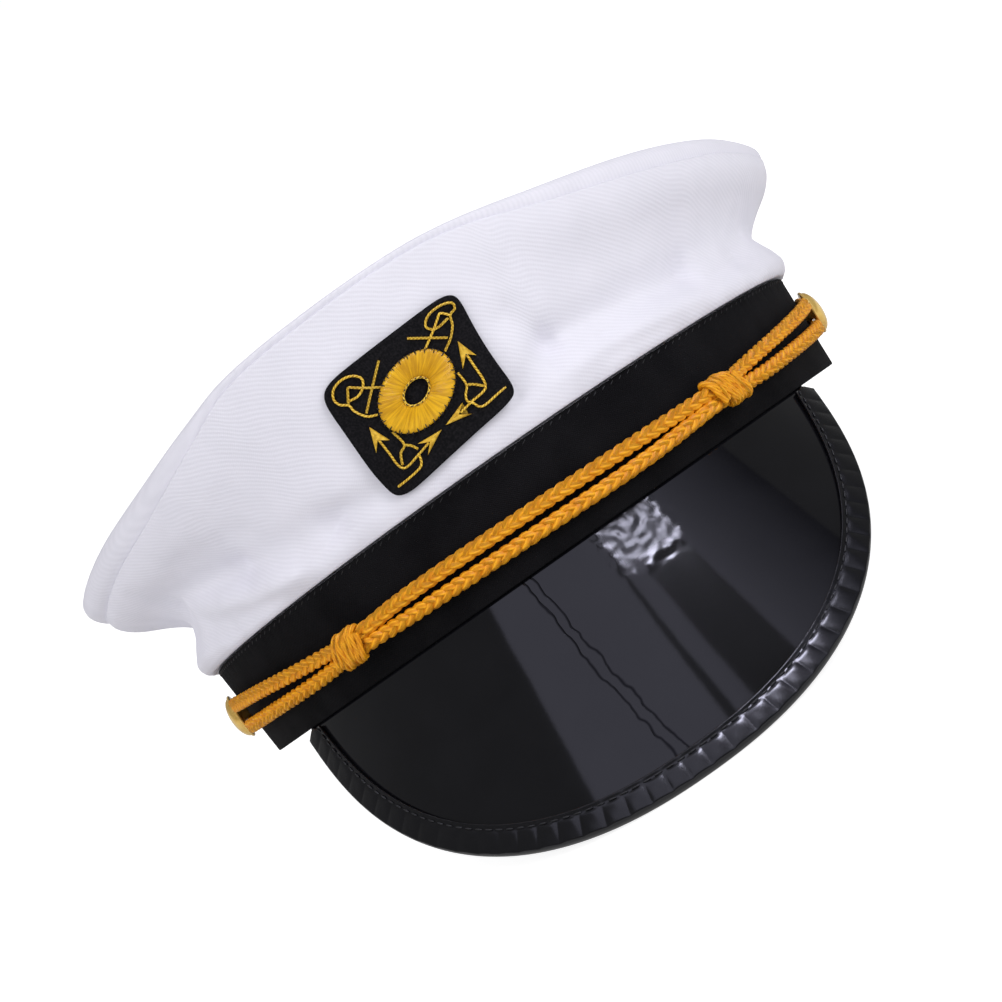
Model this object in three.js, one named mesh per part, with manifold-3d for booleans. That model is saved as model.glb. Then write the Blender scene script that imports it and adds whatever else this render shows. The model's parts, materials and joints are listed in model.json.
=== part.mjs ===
// A peaked captain hat at rest on a flat surface, in millimetres, +Z up.
// It is worked out as it is worn, level, with the front towards -Y and the
// band's lower edge at height 0, and then tipped back onto the rim of its peak.
import * as THREE from "three";
import { mergeVertices } from "three/addons/utils/BufferGeometryUtils.js";
import Module from "manifold-3d";

// Sizes of the head band
const HEAD_WIDTH = 176;
const HEAD_LENGTH = 194;
const BAND_WALL = 2.5;
const BAND_FRONT_HEIGHT = 28;
const BAND_BACK_HEIGHT = 24.5;
const BAND_FLARE = 1.6;

// Sizes of the crown
const CLOTH = 1.2;
const HEM_DEPTH = 6;
const FRONT_RISE = 52.5;
const BACK_RISE = 25;
const OVERHANG = 20;
const TOP_CENTRE_RISE = 42;
const TOP_PUFF = 6;
const TOP_HOLLOW = 1.6;
const FOLD_WIDTH = 8;
const FOLD_DEPTH = 3;

// Sizes of the peak
const PEAK_LENGTH = 67.5;
const PEAK_SLOPE = 63;
const PEAK_HALF_ANGLE = 60.5;
const PEAK_BREADTH = 2.27;
const PEAK_FALL = 1.2;
const PEAK_SHEET = 1.2;
const BINDING_WIDTH = 7.5;
const BINDING_WALL = 0.7;

// Sizes of the cord and its buttons
const CORD = 3.8;
const CORD_PRESSED = 2;
const KNOT_LENGTH = 10.5;
const KNOT_WALL = 1.2;
const KNOT_FRONT = 0.5;
const KNOT_SLANT = 1.5;
const BUTTON_DIAMETER = 13;
const BUTTON_DOME = 2.7;
const BUTTON_EDGE = 0.8;
const SHANK_DIAMETER = 2.4;

// Sizes of the badge
const BADGE_WIDTH = 40;
const BADGE_HEIGHT = 32;
const BADGE_CLOTH = 1;
const BADGE_CENTRE_HEIGHT = 50.5;
const BADGE_CENTRE_ANGLE = -2.6;
const BADGE_SQUARENESS = 8;
const THREAD = 0.5;
const THREAD_STEP = 0.06;
const ANCHOR_LINE = 1.3;
const FLUKE_LENGTH = 5;
const FLUKE_WIDTH = 4.6;
const EYE_DIAMETER = 5.2;
const LIFE_RING_WIDTH = 22;
const LIFE_RING_HEIGHT = 17;
const LIFE_RING_HOLE_WIDTH = 7.6;
const LIFE_RING_HOLE_HEIGHT = 5.6;
const LIFE_RING_THICKNESS = 0.8;
const LIFE_RING_TILT = 15;

// Gap between pieces that are sewn or laid together
const CLEARANCE = 0.3;
const BADGE_CLEARANCE = 0.6;

// Steps of the facets
const ROUND_STEPS = 60;
const PEAK_STEPS = 32;
const CORD_STEPS = 78;
const CORD_SIDES = 8;
const CORD_TURN_STEPS = 6;
const KNOT_STEPS = 12;
const BUTTON_STEPS = 20;
const BADGE_STEPS = 32;
const RING_STEPS = 28;
const EYE_STEPS = 8;
const THREAD_SPAN = 5;

// Rim of the crown by angle from the front, towards the wearer's left.
// rise runs from the back's height, 0, to the front's, 1; reach is a share of
// the overhang, puff of the top's puff, and waist says how far the side is drawn in.
const RIM = [
  { angle: -180, rise: 0.0, reach: 1.0, puff: 0.6, lap: 0.1, waist: 0.6 },
  { angle: -125, rise: 0.03, reach: 0.94, puff: 0.6, lap: 0.2, waist: 0.8 },
  { angle: -90, rise: 0.1, reach: 0.84, puff: 0.9, lap: 0.7, waist: 1.0 },
  { angle: -76, rise: 0.14, reach: 0.8, puff: 1.0, lap: 0.6, waist: 0.9 },
  { angle: -60, rise: 0.31, reach: 0.72, puff: 1.0, lap: 0.3, waist: 0.55 },
  { angle: -47, rise: 0.47, reach: 0.64, puff: 0.9, lap: 0.1, waist: 0.4 },
  { angle: -33, rise: 0.74, reach: 0.55, puff: 0.5, lap: 0.0, waist: 0.25 },
  { angle: -24, rise: 0.93, reach: 0.5, puff: 0.1, lap: 0.0, waist: 0.15 },
  { angle: -10, rise: 0.99, reach: 0.48, puff: 0.0, lap: 0.0, waist: 0.0 },
  { angle: 6, rise: 0.98, reach: 0.48, puff: 0.0, lap: 0.0, waist: 0.0 },
  { angle: 15, rise: 0.9, reach: 0.49, puff: 0.1, lap: 0.0, waist: 0.2 },
  { angle: 28, rise: 0.67, reach: 0.54, puff: 0.5, lap: 0.0, waist: 0.45 },
  { angle: 46, rise: 0.44, reach: 0.64, puff: 0.7, lap: 0.0, waist: 0.6 },
  { angle: 60, rise: 0.31, reach: 0.67, puff: 0.6, lap: 0.0, waist: 0.7 },
  { angle: 76, rise: 0.16, reach: 0.7, puff: 0.5, lap: 0.0, waist: 0.75 },
  { angle: 95, rise: 0.1, reach: 0.74, puff: 0.5, lap: 0.1, waist: 0.8 },
  { angle: 125, rise: 0.03, reach: 0.94, puff: 0.6, lap: 0.1, waist: 0.8 },
];

// Side panel from the band's upper edge, 0, to the rim, 1, as shares of the
// local rise and reach: taut where the stay holds it, and slack where it is drawn in.
const SIDE_PANEL = [
  { rise: 0.05, taut: 0.26, slack: 0.17 },
  { rise: 0.14, taut: 0.34, slack: 0.23 },
  { rise: 0.25, taut: 0.42, slack: 0.12 },
  { rise: 0.36, taut: 0.48, slack: -0.02 },
  { rise: 0.47, taut: 0.55, slack: -0.06 },
  { rise: 0.58, taut: 0.63, slack: 0.09 },
  { rise: 0.69, taut: 0.72, slack: 0.38 },
  { rise: 0.8, taut: 0.82, slack: 0.73 },
  { rise: 0.9, taut: 0.91, slack: 0.93 },
  { rise: 1.0, taut: 1.0, slack: 1.0 },
];

// Folds that run along the side panel, from one angle and share of the rise to
// another. depth is a share of the fold depth, and is negative on a ridge.
const FOLDS = [
  { from: -64, low: 0.66, to: -17, high: 0.18, width: 0.8, depth: 1.0 },
  { from: -60, low: 0.5, to: -37, high: 0.14, width: 0.6, depth: -0.5 },
  { from: -60, low: 0.28, to: -42, high: 0.08, width: 0.5, depth: 0.5 },
  { from: 14, low: 0.31, to: 58, high: 0.38, width: 0.8, depth: 0.9 },
  { from: 14, low: 0.33, to: 10, high: 0.52, width: 0.6, depth: 0.4 },
  { from: 118, low: 0.6, to: 160, high: 0.3, width: 0.8, depth: 0.7 },
  { from: -112, low: 0.55, to: -158, high: 0.34, width: 0.8, depth: 0.7 },
];

// Top panel from the seam to the centre. radius is a share of the rim's radius,
// roll of the cloth's thickness, puff and lap of the top's puff.
const TOP_PANEL = [
  { radius: 1.0, roll: 1.3, puff: 0.5, lap: 0.8 },
  { radius: 0.985, roll: 1.9, puff: 0.8, lap: 1.0 },
  { radius: 0.94, roll: 2.0, puff: 1.0, lap: 0.6 },
  { radius: 0.84, roll: 1.8, puff: 0.95, lap: 0.0 },
  { radius: 0.66, roll: 1.2, puff: 0.7, lap: 0.0 },
  { radius: 0.42, roll: 0.6, puff: 0.35, lap: 0.0 },
  { radius: 0.18, roll: 0.2, puff: 0.1, lap: 0.0 },
];

// Heights of the cord's two strands on the band, as shares of the band's front height.
const STRANDS = [
  { angle: -90, upper: 0.62, lower: 0.36 },
  { angle: -62, upper: 0.555, lower: 0.33 },
  { angle: -44, upper: 0.475, lower: 0.31 },
  { angle: -34, upper: 0.452, lower: 0.312 },
  { angle: -22, upper: 0.47, lower: 0.3 },
  { angle: 0, upper: 0.45, lower: 0.265 },
  { angle: 20, upper: 0.42, lower: 0.25 },
  { angle: 37, upper: 0.424, lower: 0.284 },
  { angle: 50, upper: 0.47, lower: 0.29 },
  { angle: 90, upper: 0.65, lower: 0.39 },
];
const KNOT_ANGLES = [-34, 37];

// Ridges of a knot's turns along its length, as shares of half its length and of its wall.
const KNOT_RIDGES = [
  { aside: 1, high: 0.3 },
  { aside: 0.75, high: 0.9 },
  { aside: 0.36, high: 0.6 },
  { aside: 0, high: 1 },
  { aside: -0.36, high: 0.6 },
  { aside: -0.75, high: 0.9 },
  { aside: -1, high: 0.3 },
];

// One anchor of the badge, its ring up right and its arms down left, in shares
// of half the badge. The other anchor is its mirror image.
const ANCHOR_LINES = [
  { x: 0.58, y: 0.58, toX: -0.74, toY: -0.74 },
  { x: 0.3, y: 0.72, toX: 0.62, toY: 0.36 },
  { x: -0.74, y: -0.74, toX: -0.74, toY: 0.08 },
  { x: -0.74, y: -0.74, toX: -0.22, toY: -0.64 },
];
const ANCHOR_FLUKES = [
  { x: -0.74, y: 0.12, turn: 90 },
  { x: -0.17, y: -0.63, turn: 8 },
];
const ANCHOR_EYE = { x: 0.66, y: 0.66 };

const wasm = await Module();
wasm.setup();

const radians = THREE.MathUtils.degToRad;
const mix = THREE.MathUtils.lerp;
const UP = new THREE.Vector3(0, 0, 1);

// Smooth value of a column of a table at a place, with a cubic through its rows.
function lookUp(table, key, column, place, period) {
  const rows = table.map((row) => ({ at: row[key], value: row[column] }));
  if (period) {
    const ahead = rows.slice(0, 2).map((row) => ({ at: row.at + period, value: row.value }));
    const behind = rows.slice(-1).map((row) => ({ at: row.at - period, value: row.value }));
    rows.unshift(...behind);
    rows.push(...ahead);
  }
  const last = rows.length - 2;
  let index = 0;
  while (index < last && rows[index + 1].at <= place) index += 1;
  const [a, b] = [rows[index], rows[index + 1]];
  const before = rows[Math.max(index - 1, 0)];
  const after = rows[Math.min(index + 2, rows.length - 1)];
  const span = b.at - a.at;
  const t = THREE.MathUtils.clamp((place - a.at) / span, 0, 1);
  const slopeIn = ((b.value - before.value) / (b.at - before.at)) * span;
  const slopeOut = ((after.value - a.value) / (after.at - a.at)) * span;
  const t2 = t * t;
  const t3 = t2 * t;
  return (
    (2 * t3 - 3 * t2 + 1) * a.value +
    (t3 - 2 * t2 + t) * slopeIn +
    (3 * t2 - 2 * t3) * b.value +
    (t3 - t2) * slopeOut
  );
}

const rim = (column, angle) => lookUp(RIM, "angle", column, wrapped(angle), 360);
const wrapped = (angle) => ((((angle + 180) % 360) + 360) % 360) - 180;

// Direction straight out from the head's oval at an angle from the front.
function outwards(angle) {
  const x = Math.sin(radians(angle)) / HEAD_WIDTH;
  const y = -Math.cos(radians(angle)) / HEAD_LENGTH;
  return new THREE.Vector3(x, y, 0).normalize();
}

// Point at an angle and a height, out from the head's oval by a distance.
function around(angle, out, height) {
  const x = (HEAD_WIDTH / 2) * Math.sin(radians(angle));
  const y = (-HEAD_LENGTH / 2) * Math.cos(radians(angle));
  return new THREE.Vector3(x, y, height).addScaledVector(outwards(angle), out);
}

// Body of a sheet from the grids of its two faces. The grids' columns run
// anticlockwise seen from above, their rows run up, and a closed sheet goes right round.
function sheetBody(outer, inner, closed) {
  const columns = outer.length;
  const rows = outer[0].length;
  const points = [...outer.flat(), ...inner.flat()];
  const front = (column, row) => (column % columns) * rows + row;
  const back = (column, row) => columns * rows + front(column, row);
  const faces = [];
  const quad = (a, b, c, d) => faces.push([a, b, c], [a, c, d]);
  const spans = closed ? columns : columns - 1;
  for (let i = 0; i < spans; i += 1) {
    for (let k = 0; k < rows - 1; k += 1) {
      quad(front(i, k), front(i + 1, k), front(i + 1, k + 1), front(i, k + 1));
      quad(back(i, k), back(i, k + 1), back(i + 1, k + 1), back(i + 1, k));
    }
    quad(front(i, 0), back(i, 0), back(i + 1, 0), front(i + 1, 0));
    quad(front(i, rows - 1), front(i + 1, rows - 1), back(i + 1, rows - 1), back(i, rows - 1));
  }
  if (!closed) {
    for (let k = 0; k < rows - 1; k += 1) {
      const end = columns - 1;
      quad(front(0, k), front(0, k + 1), back(0, k + 1), back(0, k));
      quad(front(end, k), back(end, k), back(end, k + 1), front(end, k + 1));
    }
  }
  return bodyOf(points, faces);
}

// Geometry from points and faces, with points that coincide joined and the
// faces that this closes up left out.
function bodyOf(points, faces) {
  const loose = new THREE.BufferGeometry();
  const numbers = points.flatMap((point) => point.toArray());
  loose.setAttribute("position", new THREE.Float32BufferAttribute(numbers, 3));
  loose.setIndex(faces.flat());
  const joined = mergeVertices(loose, 1e-4);
  const corners = joined.index.array;
  const kept = [];
  for (let i = 0; i < corners.length; i += 3) {
    const [a, b, c] = corners.slice(i, i + 3);
    if (a !== b && b !== c && c !== a) kept.push(a, b, c);
  }
  joined.setIndex(kept);
  joined.computeVertexNormals();
  return joined;
}

// Tube whose sections are rings of points; it goes right round and meets itself.
function loopBody(sections) {
  const points = sections.flat();
  const sides = sections[0].length;
  const faces = [];
  const at = (i, k) => (i % sections.length) * sides + (k % sides);
  for (let i = 0; i < sections.length; i += 1) {
    for (let k = 0; k < sides; k += 1) {
      faces.push([at(i, k), at(i + 1, k), at(i + 1, k + 1)]);
      faces.push([at(i, k), at(i + 1, k + 1), at(i, k + 1)]);
    }
  }
  return bodyOf(points, faces);
}

// Second face of a sheet, a distance behind the first.
function faceBehind(grid, distance, closed) {
  const columns = grid.length;
  return grid.map((column, i) =>
    column.map((point, k) => {
      const left = closed ? grid[(i + columns - 1) % columns] : grid[Math.max(i - 1, 0)];
      const right = closed ? grid[(i + 1) % columns] : grid[Math.min(i + 1, columns - 1)];
      const across = new THREE.Vector3().subVectors(right[k], left[k]);
      const above = column[Math.min(k + 1, column.length - 1)];
      const below = column[Math.max(k - 1, 0)];
      const along = new THREE.Vector3().subVectors(above, below);
      const normal = across.cross(along).normalize();
      return point.clone().addScaledVector(normal, -distance);
    }),
  );
}

// One body out of several that reach into each other.
function joined(geometries) {
  const solids = geometries.map((geometry) => {
    const bare = new THREE.BufferGeometry();
    bare.setAttribute("position", geometry.getAttribute("position"));
    bare.setIndex(geometry.index);
    const merged = mergeVertices(bare, 1e-4);
    const vertProperties = new Float32Array(merged.attributes.position.array);
    const triVerts = new Uint32Array(merged.index.array);
    return new wasm.Manifold(new wasm.Mesh({ numProp: 3, vertProperties, triVerts }));
  });
  const whole = solids.reduce((sum, solid) => sum.add(solid)).getMesh();
  const geometry = new THREE.BufferGeometry();
  const position = new THREE.BufferAttribute(new Float32Array(whole.vertProperties), 3);
  geometry.setAttribute("position", position);
  geometry.setIndex(new THREE.BufferAttribute(whole.triVerts, 1));
  geometry.computeVertexNormals();
  return geometry;
}

const steps = (count, from, to) =>
  Array.from({ length: count + 1 }, (_, i) => mix(from, to, i / count));
const roundAngles = steps(ROUND_STEPS, -180, 180).slice(0, -1);

// Band

function bandTop(angle) {
  const front = (1 + Math.cos(radians(angle))) / 2;
  return mix(BAND_BACK_HEIGHT, BAND_FRONT_HEIGHT, front);
}

const bandFlare = (angle, height) => (BAND_FLARE * height) / bandTop(angle);

function bandBody() {
  const face = (wall) =>
    roundAngles.map((angle) =>
      steps(3, 0, bandTop(angle)).map((height) =>
        around(angle, wall + bandFlare(angle, height), height),
      ),
    );
  return sheetBody(face(BAND_WALL), face(0), true);
}

// Crown

const rimRise = (angle) => mix(BACK_RISE, FRONT_RISE, rim("rise", angle));
const rimOut = (angle) => BAND_WALL + BAND_FLARE + OVERHANG * rim("reach", angle);

// How deep the folds lie at a place of the side panel.
function foldDepth(angle, rise) {
  const height = rise * rimRise(angle);
  const arc = radians(1) * (HEAD_LENGTH / 2);
  let depth = 0;
  for (const fold of FOLDS) {
    const start = new THREE.Vector2(fold.from * arc, fold.low * rimRise(fold.from));
    const end = new THREE.Vector2(fold.to * arc, fold.high * rimRise(fold.to));
    const run = end.clone().sub(start);
    const place = new THREE.Vector2(angle * arc, height);
    const share = place.clone().sub(start).dot(run) / run.lengthSq();
    const nearest = start.clone().addScaledVector(run, THREE.MathUtils.clamp(share, 0, 1));
    const away = place.distanceTo(nearest) / (fold.width * FOLD_WIDTH);
    depth += fold.depth * FOLD_DEPTH * Math.exp(-away * away);
  }
  const fromEdge = Math.min(rise, 1 - rise);
  return depth * THREE.MathUtils.smoothstep(fromEdge, 0, 0.15);
}

// Outside of the side panel at an angle and a share of its rise.
function crownPoint(angle, rise) {
  const taut = lookUp(SIDE_PANEL, "rise", "taut", rise);
  const slack = lookUp(SIDE_PANEL, "rise", "slack", rise);
  const reach = mix(taut, slack, rim("waist", angle));
  const edge = BAND_WALL + BAND_FLARE;
  const out = mix(edge, rimOut(angle), reach) - foldDepth(angle, rise);
  return around(angle, out, bandTop(angle) + rise * rimRise(angle));
}

function crownSideFace() {
  return roundAngles.map((angle) => {
    const top = bandTop(angle);
    const hem = [top - HEM_DEPTH, top].map((height) =>
      around(angle, bandFlare(angle, height) - CLEARANCE, height),
    );
    return [...hem, ...SIDE_PANEL.map((row) => crownPoint(angle, row.rise))];
  });
}

const sideOuter = crownSideFace();
const sideInner = faceBehind(sideOuter, CLOTH, true);

// The top panel starts on the side panel's upper edge and ends at its centre.
function crownTopFaces() {
  const centreHeight = bandTop(180) + TOP_CENTRE_RISE;
  const centre = new THREE.Vector3(0, 0, centreHeight);
  const last = sideOuter[0].length - 1;
  const lift = UP.clone().multiplyScalar(CLEARANCE);
  const outer = roundAngles.map((angle, i) => {
    const seam = sideOuter[i][last].clone().add(lift);
    const lap = TOP_PUFF * rim("lap", angle);
    const puff = TOP_PUFF * rim("puff", angle);
    const column = TOP_PANEL.map((row) => {
      const point = new THREE.Vector3().lerpVectors(centre, seam, row.radius);
      const sunk = 1 - Math.pow(row.radius, TOP_HOLLOW);
      point.z = mix(seam.z, centreHeight, sunk) + puff * row.puff + CLOTH * row.roll;
      return point.addScaledVector(outwards(angle), lap * row.lap);
    });
    return [seam, ...column, centre.clone()];
  });
  const inner = faceBehind(outer, CLOTH, true);
  inner.forEach((column, i) => {
    column[0] = sideInner[i][last].clone().add(lift);
    column[column.length - 1] = centre.clone().addScaledVector(UP, -CLOTH);
  });
  return [outer, inner];
}

// Peak

const peakShare = (angle) => Math.abs(angle) / PEAK_HALF_ANGLE;
const peakReach = (angle) =>
  PEAK_LENGTH * Math.pow(1 - Math.pow(peakShare(angle), PEAK_BREADTH), PEAK_FALL);

function peakDown(angle) {
  const slope = radians(PEAK_SLOPE);
  return outwards(angle).multiplyScalar(Math.cos(slope)).addScaledVector(UP, -Math.sin(slope));
}

function peakFaceOut(angle) {
  const slope = radians(PEAK_SLOPE);
  return outwards(angle).multiplyScalar(Math.sin(slope)).addScaledVector(UP, Math.cos(slope));
}

// Point of the peak's middle layer, a distance down from the band's lower edge.
function peakPoint(angle, down, out) {
  const start = around(angle, BAND_WALL / 2, -CLEARANCE - PEAK_SHEET / 2);
  return start.addScaledVector(peakDown(angle), down).addScaledVector(peakFaceOut(angle), out);
}

// Angle at which the peak is only so long.
const peakAngleAt = (reach) =>
  PEAK_HALF_ANGLE * Math.pow(1 - Math.pow(reach / PEAK_LENGTH, 1 / PEAK_FALL), 1 / PEAK_BREADTH);

// The peak stops where it is too short to hold its binding.
const peakEnd = peakAngleAt(4 * BINDING_WALL);
const peakAngles = steps(PEAK_STEPS, -peakEnd, peakEnd);

// Place on the peak at an inset from its rim and square to it: its angle and distance down.
function insetPlace(angle, inset) {
  const step = 0.25;
  const reach = peakReach(angle);
  const beside = peakPoint(angle + step, reach, 0);
  const arc = beside.distanceTo(peakPoint(angle - step, reach, 0)) / (2 * step);
  const fall = (peakReach(angle + step) - peakReach(angle - step)) / (2 * step);
  const slant = Math.hypot(fall, arc);
  const down = Math.max(reach - (inset * arc) / slant, CLEARANCE);
  return [angle + (inset * fall) / (slant * arc), down];
}

function peakBody() {
  const face = (out) =>
    peakAngles.map((rimAngle) => {
      const [angle, reach] = insetPlace(rimAngle, BINDING_WALL + CLEARANCE);
      return steps(5, reach, 0).map((down) => peakPoint(angle, down, out));
    });
  return sheetBody(face(PEAK_SHEET / 2), face(-PEAK_SHEET / 2), false);
}

// The binding is folded over the sheet's rim like a U.
function bindingBody() {
  const inside = PEAK_SHEET / 2 + CLEARANCE;
  const fold = (thick, wall, round) =>
    peakAngles.map((angle) => {
      const half = [
        [BINDING_WIDTH, thick],
        [mix(BINDING_WIDTH, wall + round, 0.5), thick],
        [wall + round, thick],
        [wall, thick - round],
      ];
      const mirrored = half.map(([inset, out]) => [inset, -out]).reverse();
      return [...half, ...mirrored]
        .map(([inset, out]) => peakPoint(...insetPlace(angle, inset), out))
        .reverse();
    });
  const outer = fold(inside + BINDING_WALL, 0, BINDING_WALL);
  const inner = fold(inside, BINDING_WALL, BINDING_WALL / 4);
  return sheetBody(outer, inner, false);
}

// Cord

const bandOutside = (angle, height) => BAND_WALL + bandFlare(angle, height);
const strandHeight = (angle, strand) => BAND_FRONT_HEIGHT * lookUp(STRANDS, "angle", strand, angle);
const cordMiddle = (angle) => (strandHeight(angle, "upper") + strandHeight(angle, "lower")) / 2;
const sideArc = (length) => THREE.MathUtils.radToDeg(length / (HEAD_LENGTH / 2 + BAND_WALL));

// Angle of one step of a strand across the front.
const STRAND_STEP = 180 / (CORD_STEPS / 2 - CORD_TURN_STEPS);

// Angles and heights of the cord's middle, across the front and round both shanks.
function cordRoute() {
  const across = (strand, from, to) =>
    steps(CORD_STEPS / 2 - CORD_TURN_STEPS, from, to).map((angle) => ({
      angle,
      height: strandHeight(angle, strand),
    }));
  const turn = (side) => {
    const radius = strandHeight(90 * side, "upper") - cordMiddle(90 * side);
    return steps(CORD_TURN_STEPS, 90, -90)
      .slice(1, -1)
      .map((turned) => ({
        angle: side * (90 + sideArc(radius * Math.cos(radians(turned)))),
        height: cordMiddle(90 * side) + radius * Math.sin(radians(turned)),
      }));
  };
  return [
    ...across("upper", -90, 90),
    ...turn(1),
    ...across("lower", 90, -90),
    ...turn(-1).reverse(),
  ];
}

// The button presses the cord flat, and it stands off where a knot passes behind it.
function cordSection(place, next, before) {
  const nearButton = 90 - sideArc(BUTTON_DIAMETER / 2 + CLEARANCE) - STRAND_STEP;
  const wide = nearButton - sideArc(2 * CORD);
  const pressed = THREE.MathUtils.smoothstep(Math.abs(place.angle), wide, nearButton);
  const thick = mix(CORD, CORD_PRESSED, pressed);
  const knot = Math.min(...KNOT_ANGLES.map((angle) => Math.abs(place.angle - angle)));
  const fullLift = sideArc(KNOT_LENGTH / 2) + STRAND_STEP;
  const lowered = THREE.MathUtils.smoothstep(knot, fullLift, 2 * fullLift);
  const lift = (KNOT_WALL + CLEARANCE) * (1 - lowered);
  const out = CLEARANCE + lift + thick / 2;
  const at = (spot) => around(spot.angle, bandOutside(spot.angle, spot.height) + out, spot.height);
  const normal = outwards(place.angle);
  const along = at(next).sub(at(before)).normalize();
  const aside = new THREE.Vector3().crossVectors(normal, along).normalize();
  return steps(CORD_SIDES, 0, 2 * Math.PI)
    .slice(0, -1)
    .map((turned) =>
      at(place)
        .addScaledVector(normal, (thick / 2) * Math.cos(turned))
        .addScaledVector(aside, (CORD / 2) * Math.sin(turned)),
    );
}

function cordLoop() {
  const route = cordRoute();
  const sections = route.map((place, i) => {
    const next = route[(i + 1) % route.length];
    const before = route[(i + route.length - 1) % route.length];
    return cordSection(place, next, before);
  });
  return loopBody(sections);
}

// Knot that is wound round both strands, its turns slanted along the band.
function knotBody(knotAngle) {
  const middle = cordMiddle(knotAngle);
  const spread = strandHeight(knotAngle, "upper") - middle;
  const hole = CORD / 2 + CLEARANCE;
  const centreOut = bandOutside(knotAngle, middle) + 2 * CLEARANCE + KNOT_WALL + CORD / 2;
  const ridges = KNOT_RIDGES.map((row) => [row.aside, row.high]);
  const inside = [-1, 0, 1].map((aside) => [aside, 0]);
  const halfTurn = (from, centre) =>
    steps(KNOT_STEPS / 2, from, from + 180).map((degrees) => {
      const turned = radians(degrees);
      const proud = 1 + KNOT_FRONT * Math.max(Math.cos(turned), 0);
      return [...ridges, ...inside].map(([aside, high]) => {
        const radius = hole + KNOT_WALL * high * proud;
        const along = (aside * KNOT_LENGTH) / 2 + KNOT_SLANT * high * Math.sin(turned);
        const height = middle + centre + radius * Math.sin(turned);
        return around(knotAngle + sideArc(along), centreOut + radius * Math.cos(turned), height);
      });
    });
  return loopBody([...halfTurn(0, spread), ...halfTurn(180, -spread)]);
}

// Button with its shank, along +Y from the band.
function buttonBody() {
  const neck = CORD_PRESSED + CLEARANCE;
  const radius = BUTTON_DIAMETER / 2;
  const dome = steps(5, 0, 90).map((turned) => {
    const t = radians(turned);
    return new THREE.Vector2(radius * Math.cos(t), neck + BUTTON_EDGE + BUTTON_DOME * Math.sin(t));
  });
  dome[dome.length - 1].x = 0;
  const profile = [
    new THREE.Vector2(0, 0),
    new THREE.Vector2(SHANK_DIAMETER / 2, 0),
    new THREE.Vector2(SHANK_DIAMETER / 2, neck),
    new THREE.Vector2(radius, neck),
    ...dome,
  ];
  const lathe = new THREE.LatheGeometry(profile, BUTTON_STEPS);
  lathe.deleteAttribute("normal");
  lathe.deleteAttribute("uv");
  return lathe;
}

// Badge

// Point on the crown's front, across and up from the badge's centre, at a height off the cloth.
function onCrown(across, up, lift) {
  const radius = HEAD_WIDTH / 2 + rimOut(BADGE_CENTRE_ANGLE) * (HEAD_LENGTH / HEAD_WIDTH) / 2;
  const angle = BADGE_CENTRE_ANGLE + THREE.MathUtils.radToDeg(across / radius);
  const rise = (BADGE_CENTRE_HEIGHT + up - bandTop(angle)) / rimRise(angle);
  const spot = crownPoint(angle, rise);
  const beside = crownPoint(angle + 1, rise).sub(crownPoint(angle - 1, rise));
  const above = crownPoint(angle, rise + 0.04).sub(crownPoint(angle, rise - 0.04));
  return spot.addScaledVector(beside.cross(above).normalize(), lift);
}

// Square patch with round corners, as a superellipse.
function patchBody() {
  const outline = (turned, size) => {
    const x = Math.cos(turned);
    const y = Math.sin(turned);
    const power = BADGE_SQUARENESS;
    const square = size * Math.pow(Math.abs(x) ** power + Math.abs(y) ** power, -1 / power);
    return { x: (BADGE_WIDTH / 2) * square * x, y: (BADGE_HEIGHT / 2) * square * y };
  };
  const face = (lift) =>
    steps(BADGE_STEPS, 0, 2 * Math.PI)
      .slice(0, -1)
      .map((turned) =>
        [1, 0.7, 0.35, 0].map((size) => {
          const { x, y } = outline(turned, size);
          return onCrown(x, y, lift);
        }),
      );
  return sheetBody(face(BADGE_CLEARANCE + BADGE_CLOTH), face(BADGE_CLEARANCE), true);
}

const threadLift = BADGE_CLEARANCE + BADGE_CLOTH + CLEARANCE;

function lifeRingBody() {
  const bottom = threadLift + THREAD + ANCHOR_LINES.length * THREAD_STEP + CLEARANCE;
  const tilt = radians(LIFE_RING_TILT);
  const rows = [
    { inward: 0, thick: 0.4 },
    { inward: 0.3, thick: 1 },
    { inward: 0.7, thick: 1 },
    { inward: 1, thick: 0.4 },
  ];
  const face = (raised) =>
    steps(RING_STEPS, 0, 2 * Math.PI)
      .slice(0, -1)
      .map((turned) =>
        rows.map((row) => {
          const x = (mix(LIFE_RING_WIDTH, LIFE_RING_HOLE_WIDTH, row.inward) / 2) * Math.cos(turned);
          const y = (mix(LIFE_RING_HEIGHT, LIFE_RING_HOLE_HEIGHT, row.inward) / 2) * Math.sin(turned);
          const across = x * Math.cos(tilt) - y * Math.sin(tilt);
          const up = x * Math.sin(tilt) + y * Math.cos(tilt);
          return onCrown(across, up, bottom + (raised ? LIFE_RING_THICKNESS * row.thick : 0));
        }),
      );
  return sheetBody(face(true), face(false), true);
}

// Line of thread between two points of the flat badge, in millimetres.
function threadLine(from, to, extra, mirrored) {
  const run = to.clone().sub(from);
  const aside = new THREE.Vector2(-run.y, run.x).setLength(ANCHOR_LINE / 2);
  const ends = run.clone().setLength(ANCHOR_LINE / 2);
  const count = Math.max(2, Math.round(run.length() / THREAD_SPAN));
  const face = (lift) =>
    steps(count, 0, 1).map((share) => {
      const spot = from.clone().sub(ends).addScaledVector(run.clone().addScaledVector(ends, 2), share);
      return [spot.clone().sub(aside), spot.clone().add(aside)].map((edge) =>
        onCrown(mirrored * edge.x, edge.y, lift),
      );
    });
  const outer = face(threadLift + THREAD + extra);
  const inner = face(threadLift - extra);
  return mirrored > 0 ? sheetBody(outer, inner, false) : sheetBody(inner, outer, false);
}

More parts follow.
